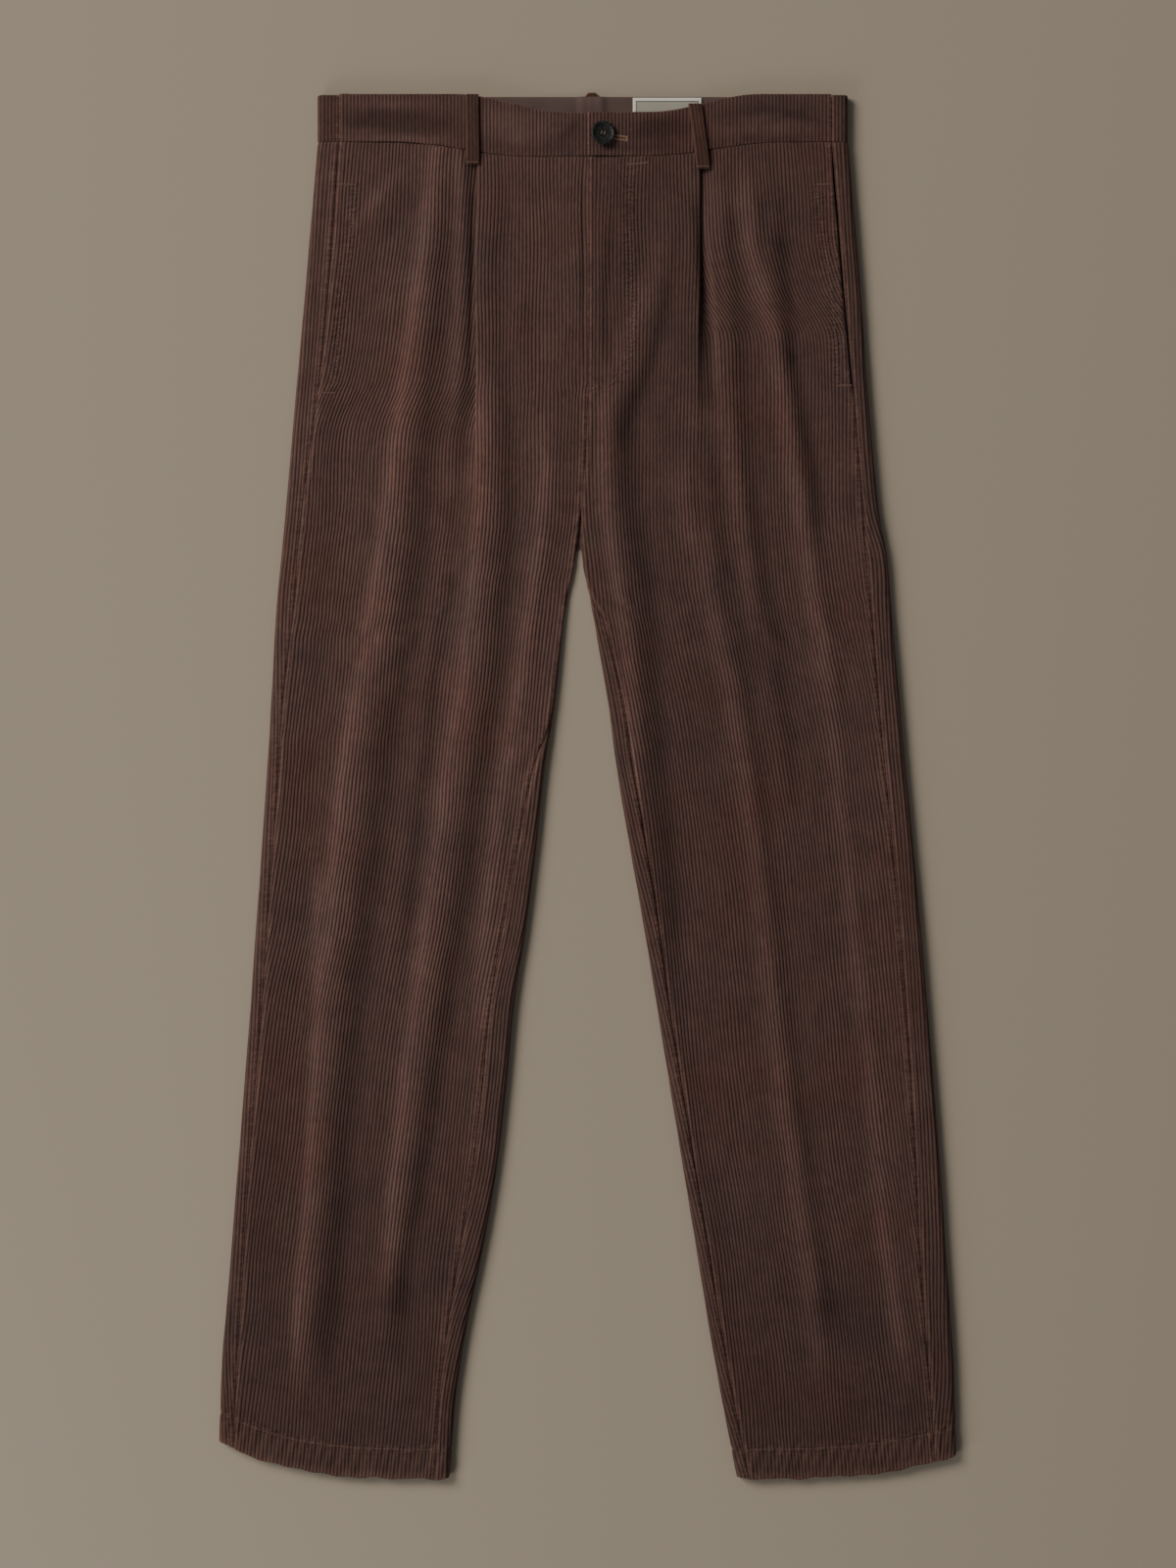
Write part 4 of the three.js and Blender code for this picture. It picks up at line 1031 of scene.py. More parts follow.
@dataclass(frozen=True)
class Twill:
    """Brushed cotton twill, plain and dull: fine slanting ribs that show as a slight grain."""

    name: str = "brushed_cotton_twill"
    colour: str = "#6a5955"
    shade: str = "#504140"

    def build(self) -> bpy.types.Material:
        """Make the material. The twill's lines are 1 mm apart, coarser than real, so that they show."""
        material, tree = new_material(self.name)
        place = add(tree, "TexCoord").outputs["Object"]
        turned = add(tree, "Mapping", {0: place, 2: (0.0, 0.0, math.radians(58))})
        lines = add(tree, "TexWave", {0: turned, "Scale": 318.0, "Distortion": 1.2, "Detail": 2.0,
                                      "Detail Scale": 2.0})
        clouds = add(tree, "TexNoise", {"Vector": place, "Scale": 45.0, "Detail": 4.0})
        mixed = add(tree, "Math", {0: lines.outputs["Fac"], 1: clouds}, operation="MULTIPLY")
        level = add(tree, "MapRange", {0: mixed, 1: 0.0, 2: 0.55})
        colour = add(tree, "Mix", {0: level, 6: linear(self.shade), 7: linear(self.colour)},
                     data_type="RGBA")
        bump = add(tree, "Bump", {"Strength": 0.3, "Distance": 0.0002, "Height": lines.outputs["Fac"]})
        shader = add(tree, "BsdfPrincipled", {
            "Base Color": colour.outputs[2], "Roughness": 0.88, "IOR": 1.45, "Specular IOR Level": 0.3,
            "Sheen Weight": 0.15, "Sheen Roughness": 0.5, "Normal": bump,
        })
        add(tree, "OutputMaterial", {0: shader})
        return material


@dataclass(frozen=True)
class LabelSatin:
    """Woven satin tape: a bare pale field in a thin dark frame with an off-white border."""

    half_width: float
    half_height: float
    name: str = "woven_satin_label"
    border: float = 2.7
    field: str = "#abac9f"
    edge: str = "#f3f4f1"
    line: str = "#4a4744"

    def build(self) -> bpy.types.Material:
        """Make the material. It measures each place from the border with the cloth map, in millimetres."""
        material, tree = new_material(self.name)
        cloth_map = add(tree, "UVMap", uv_map="cloth")
        parts = add(tree, "SeparateXYZ", {0: cloth_map})
        inset_x = add(tree, "Math", {0: parts}, operation="ABSOLUTE")
        inset_y = add(tree, "Math", {0: parts.outputs[1]}, operation="ABSOLUTE")
        from_x = add(tree, "Math", {0: inset_x, 1: self.half_width - self.border}, operation="SUBTRACT")
        from_y = add(tree, "Math", {0: inset_y, 1: self.half_height - self.border}, operation="SUBTRACT")
        outside = add(tree, "Math", {0: from_x, 1: from_y}, operation="MAXIMUM")
        in_border = add(tree, "MapRange", {0: outside, 1: -0.05, 2: 0.05})
        distance = add(tree, "Math", {0: outside}, operation="ABSOLUTE")
        on_line = add(tree, "MapRange", {0: distance, 1: 0.42, 2: 0.22})
        threads = add(tree, "VectorMath", {0: cloth_map, 1: (5.0, 1.2, 1.0)}, operation="MULTIPLY")
        weave_noise = add(tree, "TexNoise", {"Vector": threads, "Scale": 1.0, "Detail": 2.0})
        shade = add(tree, "MapRange", {0: weave_noise, 1: 0.3, 2: 0.7, 3: 0.0, 4: 0.35})
        plain = add(tree, "Mix", {0: in_border, 6: linear(self.field), 7: linear(self.edge)},
                    data_type="RGBA")
        woven = add(tree, "Mix", {0: shade, 6: plain.outputs[2], 7: linear("#77766c")}, data_type="RGBA")
        colour = add(tree, "Mix", {0: on_line, 6: woven.outputs[2], 7: linear(self.line)},
                     data_type="RGBA")
        bump = add(tree, "Bump", {"Strength": 0.25, "Distance": 0.0002, "Height": weave_noise})
        shader = add(tree, "BsdfPrincipled", {
            "Base Color": colour.outputs[2], "Roughness": 0.55, "IOR": 1.5, "Sheen Weight": 0.1,
            "Sheen Roughness": 0.3, "Normal": bump,
        })
        add(tree, "OutputMaterial", {0: shader})
        return material


@dataclass(frozen=True)
class Horn:
    """Dark horn, turned and dulled: near black with faint blue-grey veins and a soft gloss."""

    name: str = "dark_horn"
    dark: str = "#131313"
    vein: str = "#33373c"

    def build(self) -> bpy.types.Material:
        """Make the material, with veins about 3 mm apart."""
        material, tree = new_material(self.name)
        place = add(tree, "TexCoord").outputs["Object"]
        veins = add(tree, "TexNoise", {"Vector": place, "Scale": 330.0, "Detail": 4.0,
                                       "Distortion": 1.5})
        level = add(tree, "MapRange", {0: veins, 1: 0.45, 2: 0.75})
        colour = add(tree, "Mix", {0: level, 6: linear(self.dark), 7: linear(self.vein)},
                     data_type="RGBA")
        fine = add(tree, "TexNoise", {"Vector": place, "Scale": 2500.0, "Detail": 2.0})
        bump = add(tree, "Bump", {"Strength": 0.12, "Distance": 0.0001, "Height": fine})
        shader = add(tree, "BsdfPrincipled", {
            "Base Color": colour.outputs[2], "Roughness": 0.5, "IOR": 1.5, "Specular IOR Level": 0.35,
            "Normal": bump,
        })
        add(tree, "OutputMaterial", {0: shader})
        return material


@dataclass(frozen=True)
class Thread:
    """Twisted sewing thread: matt, with a fine twist that breaks up its colour."""

    name: str
    colour: str
    shade: str

    def build(self) -> bpy.types.Material:
        """Make the material, with a twist of about 0.4 mm."""
        material, tree = new_material(self.name)
        place = add(tree, "TexCoord").outputs["Object"]
        twist = add(tree, "TexNoise", {"Vector": place, "Scale": 1800.0, "Detail": 1.0})
        level = add(tree, "MapRange", {0: twist, 1: 0.35, 2: 0.65})
        colour = add(tree, "Mix", {0: level, 6: linear(self.shade), 7: linear(self.colour)},
                     data_type="RGBA")
        bump = add(tree, "Bump", {"Strength": 0.4, "Distance": 0.0002, "Height": twist})
        shader = add(tree, "BsdfPrincipled", {
            "Base Color": colour.outputs[2], "Roughness": 0.7, "IOR": 1.5, "Sheen Weight": 0.1,
            "Normal": bump,
        })
        add(tree, "OutputMaterial", {0: shader})
        return material


class Slot(Enum):
    """The record's material slots."""

    CORDUROY = "corduroy"
    TWILL = "facing_twill"
    LABEL = "label_cloth"
    HORN = "button_horn"
    THREAD = "thread"
    BUTTON_THREAD = "button_thread"


def dress(piece: bpy.types.Object, material: bpy.types.Material, slot: Slot,
          *nodes: str) -> bpy.types.Object:
    """Give a piece its material and its body, and hide the solids that it stands for.

    Args:
        piece: The piece.
        material: Its material.
        slot: The record's slot, not used.
        *nodes: The solids that it replaces.

    Returns:
        The piece.
    """
    piece.data.materials.append(material)
    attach(piece, "root")
    if nodes:
        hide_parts(*nodes)
    return piece


# Topstitching on the fronts, x and y along each line
FLY_STITCHES = ((33.9, 494), (33.9, 424), (36.2, 362), (35, 340), (30.8, 326), (20, 315), (3, 310))
POCKET_STITCHES = {
    "left": ((179, 468), (187, 420), (193, 370), (197, 314)),
    "right": ((-181, 468), (-187, 420), (-193, 370), (-198, 309)),
}

# Bar tacks and the buttonhole, x and y of both ends of each line
TACKS = {
    "bar_tacks_left": ((32.3, 485.2, 48.5, 486.8), (181, 470, 191.4, 470), (196, 312.5, 207.5, 312.5)),
    "bar_tacks_right": ((-194, 470, -180.2, 470), (-209.5, 306.8, -197.5, 306.8)),
    "buttonhole": ((20.5, 508.2, 31.0, 506.4), (20.5, 505.6, 31.0, 503.8), (31.3, 503.4, 31.5, 507.0)),
    "loop_tack_right": ((-94.2, 487.2, -84.8, 487.2),),
    "loop_tack_left": ((86.2, 483.8, 95.4, 483.8),),
}


@dataclass
class Panels:
    """The two fronts and two backs, each a thin shell with its ribs raised."""

    corduroy: bpy.types.Material

    def front(self, leg: Leg) -> bpy.types.Object:
        """Build one front panel.

        Args:
            leg: The leg.

        Returns:
            The piece.
        """
        at = Stations(leg, ROWS)
        cloth = weave(leg, front_section(leg, at), True)
        x, y = cloth.mid[..., 0], cloth.mid[..., 1]
        inside = smooth(2, 14, cloth.near)
        creases = crease_height(leg.creases, x, y) * inside
        cloth.mid[..., 2] += creases
        folds = fold_height(leg, Stations(leg, panel_drops()), leg.side * x)
        # painted light and shade: paler where the folds and creases rise, darker where they sink
        nap = np.clip((folds + creases) / 2.6, -1, 1)
        sewn = path_distance(POCKET_STITCHES[leg.name], x, y)[0]
        if leg.side > 0:
            sewn = np.minimum(sewn, path_distance(FLY_STITCHES, x, y)[0])
        return self._panel(leg, cloth, nap, sewn, f"front_panel_{leg.name}")

    def back(self, leg: Leg) -> bpy.types.Object:
        """Build one back panel.

        Args:
            leg: The leg.

        Returns:
            The piece.
        """
        at = Stations(leg, ROWS)
        cloth = weave(leg, back_section(leg, at), False)
        on_floor = smooth(0.5, 0.95, -cloth.normal[..., 2]) * smooth(2, 14, cloth.near)
        cloth.mid[..., 2] += crease_height(leg.back_creases, cloth.mid[..., 0], cloth.mid[..., 1]) * on_floor
        plain = 0 * cloth.near
        return self._panel(leg, cloth, plain, plain + FAR_FROM_SEWING, f"back_panel_{leg.name}")

    def _panel(self, leg: Leg, cloth: Cloth, nap: np.ndarray, sewn: np.ndarray,
               node: str) -> bpy.types.Object:
        """Give a panel its wall, ribs, seam edges, hem and wear.

        Args:
            leg: The leg.
            cloth: Its middle surface.
            nap: Its painted light and shade, from -1 in fold troughs to 1 on fold ridges.
            sewn: Distance of each point from the topstitching.
            node: The solid that it stands for.

        Returns:
            The piece.
        """
        cloth, angle, tip_y = Tip().add(cloth, HEM_TIP, False, -1.0)
        added = ((0, len(Tip().angles)), (0, 0))
        nap, sewn = np.pad(nap, added, mode="edge"), np.pad(sewn, added, mode="edge")
        # darker by drop, as the leg's shade table gives
        nap = nap - np.interp(cloth.down, *np.array(leg.shade, dtype=float).T)
        near, down = cloth.near, cloth.down
        hem = HEM_DROP - HEM_DEPTH
        x = cloth.mid[..., 0]

        # the turned-up hem is puckered along its stitching and waves a little at its edge
        in_hem = smooth(hem - 6, hem, down) * (1 - 0.5 * smooth(hem + 6, HEM_DROP, down))
        towards_edge = smooth(hem, HEM_DROP, down)
        ripple = np.sin(x / 1.35 + down / 4 + 1.6 * np.sin(x / 9 + leg.side))
        wave = np.sin(x / 7.5 + 2 * np.sin(x / 23)) + 0.6 * np.sin(x / 3.1 + leg.side)
        top_side = smooth(0.2, 0.9, cloth.normal[..., 2])
        cloth.mid[..., 2] += (0.28 * (1 + ripple) * in_hem + 0.35 * (1 + wave) * towards_edge) * top_side
        cloth.mid[..., 1] += 0.7 * wave * towards_edge

        # beside a seam the cloth stands up over its allowance, roped, and sinks at the seam itself
        rope = 1 + 0.55 * np.sin(down / 1.9 + 1.7 * np.sin(down / 13))
        sewn = np.minimum.reduce([sewn, near + 2.5, np.abs(down - hem), down + 3])
        sunk = 0.1 * (1 - smooth(0, 1.7, near)) + 0.45 * (1 - smooth(0, 2.4, down))
        ridge = 0.34 * rope * np.exp(-(((near - 3.0) / 1.6) ** 2))
        hem_line = np.exp(-(((down - hem) / 1.3) ** 2))
        groove = 0.4 * hem_line
        turn_up = 0.3 * smooth(hem, hem + 5, down)
        strength = smooth(0.1, 1.6, near) * smooth(-0.5, 1.6, down) * (1 - 0.6 * hem_line)
        up = smooth(0.4, 3.0, cloth.mid[..., 2])
        relief = rib_relief(cloth.across, cloth.mid[..., 2] + CLOTH / 2 * cloth.normal[..., 2], strength)
        out = CLOTH / 2 - sunk + (ridge + turn_up) * up - groove
        inward = np.full_like(out, CLOTH / 2) + HEM_TURN_UP * smooth(hem - 1, hem + 1, down) * 0.8
        outer, inner = wall(cloth, angle, tip_y, out, inward, relief)

        edge_wear = np.exp(-(((near - 2.2) / 1.5) ** 2))
        hem_wear = 0.7 * smooth(HEM_DROP - 4, HEM_DROP - 1, down)
        wear = 0.24 * edge_wear * np.clip(rope, 0, 1.4) + 0.5 * hem_wear + 0.1 * (1 + ripple) * in_hem
        wear = np.clip(wear, 0, 1)
        shell = Shell(outer, inner, cloth.first, cloth.last, cloth.across, cloth.down, wear, nap, sewn)
        piece = shell.build(f"corduroy_{node}")
        dress(piece, self.corduroy, Slot.CORDUROY, node)
        return piece


def rear_lift(x: np.ndarray) -> np.ndarray:
    """Rise of the back waistband and its facing where they pass over a belt loop."""
    share = np.zeros_like(x)
    for place, _ in REAR_LOOPS.values():
        share = np.maximum(share, 1 - smooth(REAR_BUMP_FLAT, REAR_BUMP_END, np.abs(x - place)))
    return share * (LOOP_THICKNESS + SEAM_GAP)


def front_band_top(side: int, q: np.ndarray) -> np.ndarray:
    """Height of a front waistband's upper face: the left one rises where it laps over the right one."""
    over = falloff(np.maximum(q - FLY_BAND_LAP - 3, 0) / BAND_LAP_BLEND) if side > 0 else 0 * q
    return BAND_TOP + over * (BAND + SEAM_GAP + BAND_BULGE)


def waist_seam_y(x: np.ndarray) -> np.ndarray:
    """The waist seam's line across the fronts."""
    middle = 1 - smooth(WAIST_DIP_INNER, WAIST_DIP_OUTER, np.abs(x))
    return WAIST_Y + WAIST_SIDE_LIFT - WAIST_DIP * middle


def front_top_y(x: np.ndarray) -> np.ndarray:
    """The front waistband's upper edge, dipped in the middle."""
    middle = 1 - smooth(FRONT_TOP_INNER, FRONT_TOP_OUTER, np.abs(x - FRONT_TOP_CENTRE))
    return FRONT_TOP_Y - FRONT_TOP_DIP * middle


def height_normals(x: np.ndarray, y: np.ndarray, z: np.ndarray) -> np.ndarray:
    """Normals of a surface that is a height over x and y, from its slopes along its rows and columns."""
    slope_x = np.gradient(z, axis=1) / np.gradient(x, axis=1)
    slope_y = np.gradient(z, axis=0) / np.gradient(y, axis=0)
    size = np.sqrt(slope_x**2 + slope_y**2 + 1)
    return np.dstack([-slope_x / size, -slope_y / size, 1 / size])


@dataclass
class Waistband:
    """The waistband's two fronts, its back and its plain facing."""

    corduroy: bpy.types.Material
    twill: bpy.types.Material
    round_edge: float = 1.1

    def front(self, leg: Leg) -> bpy.types.Object:
        """Build one front waistband.

        Args:
            leg: The leg under it.

        Returns:
            The piece.
        """
        at = Stations(leg, np.array([0.0]))
        start = float(at.centre_q[0, 0]) - (0.5 if leg.side > 0 else FLY_BAND_LAP)
        end = float(at.seam[0, 0]) - SEAM_GAP / 2
        rows, columns = 17, int((end - start) / RIB_STEP) + 1
        q = np.linspace(start, end, columns)[None, :]
        up = np.linspace(0, 1, rows)[:, None]
        x = leg.side * q + 0 * up
        low, high = waist_seam_y(x) + SEAM_GAP + self.round_edge, front_top_y(x) - self.round_edge
        y = lerp(low, high, up)
        bulge = BAND_BULGE * np.sin(np.pi * up) ** 0.7
        dents = crease_height(self._dents(leg), x, y)
        z = front_band_top(leg.side, q + 0 * up) - BAND / 2 + bulge + dents
        near = np.minimum(q - start, end - q) + 0 * up
        cloth = Cloth(np.dstack([x, y, z]), height_normals(x, y, z), q + 0 * up,
                      BAND_HEIGHT * up + 0 * q, near, np.zeros(rows, dtype=int), np.full(rows, columns - 1))
        # painted shade in the band's dents and painted light on its pulls, and the whole band coloured a
        # shade darker
        nap = np.clip(0.8 * dents, -0.7, 0.8) - 0.36
        return self._band(cloth, nap, BAND, f"waistband_front_{leg.name}")

    def _dents(self, leg: Leg) -> tuple[Crease, ...]:
        """Soft dents and pulls in the band, uneven along it."""
        if leg.side > 0:
            return (
                Crease(-1.2, 9, ((32, 511), (52, 512), (80, 516))),
                Crease(-0.8, 7, ((98, 524), (140, 527), (186, 528))),
                Crease(-0.9, 3, ((150, 527), (166, 524), (186, 519))),
                Crease(0.4, 5, ((96, 511), (140, 514), (184, 513))),
                Crease(0.5, 3, ((120, 520), (146, 523), (164, 529))),
                Crease(-0.6, 3, ((4, 500), (34, 498), (72, 499))),
                Crease(0.6, 4, ((34, 524), (58, 526), (78, 529))),
                Crease(-0.5, 3, ((100, 503), (140, 506), (182, 506))),
            )
        return (
            Crease(-1.5, 8, ((-190, 517), (-164, 521), (-130, 518), (-100, 516))),
            Crease(1.3, 3.2, ((-192, 506), (-160, 505), (-104, 503.5))),
            Crease(0.6, 2.5, ((-192, 512.5), (-176, 511.5), (-158, 512.5))),
            Crease(0.7, 3, ((-186, 533), (-150, 532), (-118, 534))),
            Crease(1.5, 13, ((-82, 520), (-50, 515), (-24, 513))),
            Crease(-0.8, 5, ((-22, 504), (-10, 512), (-6, 522))),
            Crease(-0.5, 3, ((-80, 499), (-42, 498), (-10, 498))),
        )

    def _band(self, cloth: Cloth, nap: np.ndarray, thickness: float, node: str) -> bpy.types.Object:
        """Give a waistband piece its folded edges, wall and ribs.

        Args:
            cloth: Its middle surface.
            nap: Its painted shade in dents and painted light on pulls, and its tone offset.
            thickness: Its wall.
            node: The solid that it stands for.

        Returns:
            The piece.
        """
        rise = cloth.mid[-1, 0, 1] > cloth.mid[0, 0, 1]
        cloth, first_angle, first_y = Tip().add(cloth, self.round_edge, True, -1.0 if rise else 1.0)
        cloth, last_angle, last_y = Tip().add(cloth, self.round_edge, False, 1.0 if rise else -1.0)
        pad = len(Tip().angles)
        angle, tip_y = last_angle + np.pad(first_angle, (0, pad)), last_y + np.pad(first_y, (0, pad))
        height = cloth.mid[..., 2] + thickness / 2 * cloth.normal[..., 2]
        relief = rib_relief(cloth.across, height, smooth(0.1, 1.6, cloth.near) * 0.9)
        out = thickness / 2 - 0.35 * (1 - smooth(0, 1.6, cloth.near))
        inward = np.full_like(out, thickness / 2)
        outer, inner = wall(cloth, angle, tip_y, out, inward, relief)
        wear = np.clip(0.3 * np.exp(-(((cloth.near - 0.8) / 1.4) ** 2)) + 0.2 * np.sin(angle)[:, None], 0, 1)
        nap = np.pad(nap, ((pad, pad), (0, 0)), mode="edge")
        y = cloth.mid[..., 1]
        low, high = y.min(axis=0), y.max(axis=0)
        sewn = np.minimum.reduce([cloth.near + 3, y - low + 5, 1.5 * (high - y) + 4])
        shell = Shell(outer, inner, cloth.first, cloth.last, cloth.across, cloth.down, wear, nap, sewn)
        piece = shell.build(f"corduroy_{node}")
        dress(piece, self.corduroy, Slot.CORDUROY, node)
        return piece

    def back(self) -> bpy.types.Object:
        """Build the back waistband: half a turn at each side, and the floor between, over the loops."""
        outline = []
        for leg in (LEFT, RIGHT):
            at = Stations(leg, np.array([0.0]))
            edge, seam = float(at.edge[0, 0]), float(at.seam[0, 0])
            radius = (BAND_TOP - BAND_CLOTH) / 2
            centre_q, centre_z = edge - BAND_CLOTH / 2 - radius, BAND_CLOTH / 2 + radius
            t = np.linspace(0, 1, 13)[:-1]
            angle = np.linspace(0, np.pi, 41)
            q = np.concatenate([lerp(seam + SEAM_GAP / 2, centre_q, t), centre_q + radius * np.sin(angle)])
            z = np.concatenate([t * 0 + centre_z + radius, centre_z + radius * np.cos(angle)])
            outline.append((leg.side * q, z))
        (left_x, left_z), (right_x, right_z) = outline
        floor_x = np.linspace(left_x[-1], right_x[-1], 700)[1:-1]
        floor_z = BAND_CLOTH / 2 + rear_lift(floor_x)
        x = np.concatenate([left_x, floor_x, right_x[::-1]])[None, :]
        z = np.concatenate([left_z, floor_z, right_z[::-1]])[None, :]
        length = arc_length(x, z)[0]
        place = np.arange(0, length[-1], RIB_STEP)
        place = np.append(place, length[-1])
        tangent_x, tangent_z = np.gradient(x[0]), np.gradient(z[0])
        size = np.hypot(tangent_x, tangent_z)
        channels = (x[0], z[0], -tangent_z / size, tangent_x / size)
        x, z, nx, nz = (np.interp(place, length, channel) for channel in channels)
        low = WAIST_Y + WAIST_SIDE_LIFT + SEAM_GAP + self.round_edge
        rows = 9
        up = np.linspace(0, 1, rows)[:, None]
        y = lerp(low, BACK_TOP_Y - self.round_edge, up)
        whole = 0 * up + np.ones_like(x)
        mid = np.dstack([x * whole, y * whole, z * whole])
        normal = np.dstack([nx * whole, 0 * whole, nz * whole])
        near = np.minimum(place, length[-1] - place) * whole
        cloth = Cloth(mid, normal, place * whole, BAND_HEIGHT * up * whole, near,
                      np.zeros(rows, dtype=int), np.full(rows, len(place) - 1))
        return self._band(cloth, -0.6 * whole, BAND_CLOTH, "waistband_back")

    def facing(self) -> bpy.types.Object:
        """Build the plain facing inside the back waistband, with its centre-back seam."""
        x = np.linspace(-184, 184, 369)[None, :]
        up = np.linspace(0, 1, 13)[:, None]
        y = lerp(WAIST_Y + WAIST_SIDE_LIFT + 2.6, BACK_TOP_Y - 1.2, up) + 0 * x
        x = x + 0 * up
        seam = 0.28 * np.exp(-(((x - 2.2) / 1.6) ** 2)) - 0.3 * np.exp(-(((x - 1.0) / 0.5) ** 2))
        waves = 0.12 * np.sin(x / 13.0 + 0.6 * np.sin(y / 9.0)) * (1 - smooth(0, 0.35, 1 - up))
        z = BAND_CLOTH + SEAM_GAP + FACING / 2 + rear_lift(x) + seam * 0.8 + np.abs(waves)
        cloth = Cloth(np.dstack([x, y, z]), height_normals(x, y, z), x, y, 184 - np.abs(x),
                      np.zeros(13, dtype=int), np.full(13, 368))
        cloth, angle, tip_y = Tip().add(cloth, FACING_TIP, False, 1.0)
        thick = np.full_like(cloth.near, FACING / 2)
        outer, inner = wall(cloth, angle, tip_y, thick, thick, 0 * thick)
        shell = Shell(outer, inner, cloth.first, cloth.last, cloth.across, cloth.down, 0 * thick)
        piece = dress(shell.build("twill_waistband_facing"), self.twill, Slot.TWILL, "waistband_facing")
        return piece


@dataclass
class PocketFacing:
    """The strip of plain cloth seen in a side pocket's mouth."""

    twill: bpy.types.Material
    width: float = 26.0
    thickness: float = 1.0

    def build(self, leg: Leg) -> bpy.types.Object:
        """Build one facing from its front's last points, moved in under the cloth.

        Args:
            leg: The leg.

        Returns:
            The piece.
        """
        at = Stations(leg, ROWS)
        q, z, _ = front_section(leg, at)
        keep = (ROWS >= POCKET_TOP) & (ROWS <= POCKET_BOTTOM)
        places = ROWS[keep]
        drops = np.linspace(places[0], places[-1], 25)
        q, z = along(places, q[keep], drops), along(places, z[keep], drops)
        length = arc_length(q, z)
        at = Stations(leg, drops)
        across = np.linspace(-self.width, 0, 27)
        target = length[:, -1:] + across[None, :]
        y = WAIST_Y - at.drop + row_lift(leg, at, q, True)
        q, y, z = (
            np.array([np.interp(p, s, c) for p, s, c in zip(target, length, channel)])
            for channel in (q, y, z)
        )
        slope_q, slope_z = np.gradient(q, axis=1), np.gradient(z, axis=1)
        size = np.hypot(slope_q, slope_z)
        inward = CLOTH / 2 + SEAM_GAP + self.thickness / 2
        normal = np.dstack([-leg.side * slope_z / size, 0 * q, slope_q / size])
        reach = POCKET_GAPE * 0.8 * smooth(-6, 0, across)[None, :]
        mid = np.dstack([leg.side * (q + reach), y, z]) - normal * inward
        thick = np.full_like(q, self.thickness / 2)
        first, last = np.zeros(len(drops), dtype=int), np.full(len(drops), len(across) - 1)
        shell = Shell(mid + normal * thick[..., None], mid - normal * thick[..., None], first, last,
                      across[None, :] + 0 * q, y, 0 * q)
        node = f"pocket_facing_{leg.name}"
        piece = dress(shell.build(f"twill_{node}"), self.twill, Slot.TWILL, node)
        return piece


@dataclass
class Label:
    """The bare care label sewn to the facing."""

    x: float = 63.0
    width: float = 54.0
    low: float = BACK_TOP_Y - 27
    high: float = BACK_TOP_Y - 1.2

    def build(self) -> bpy.types.Object:
        """Build the label: a thin tape with a slight wave across it."""
        material = LabelSatin(self.width / 2, (self.high - self.low) / 2).build()
        x = self.x + np.linspace(-self.width / 2, self.width / 2, 55)[None, :]
        y = np.linspace(self.low, self.high, 25)[:, None] + 0 * x
        x = x + 0 * y
        wave = 0.1 * (1 + np.sin(x / 5.0 + y / 11.0))
        z = BAND_CLOTH + 2 * SEAM_GAP + FACING + LABEL / 2 + 0.3 + wave
        mid, out = np.dstack([x, y, z]), height_normals(x, y, z) * (LABEL / 2)
        shell = Shell(mid + out, mid - out, np.zeros(25, dtype=int), np.full(25, 54), x - self.x,
                      y - (self.low + self.high) / 2, 0 * x)
        piece = dress(shell.build("satin_label"), material, Slot.LABEL, "label")
        return piece


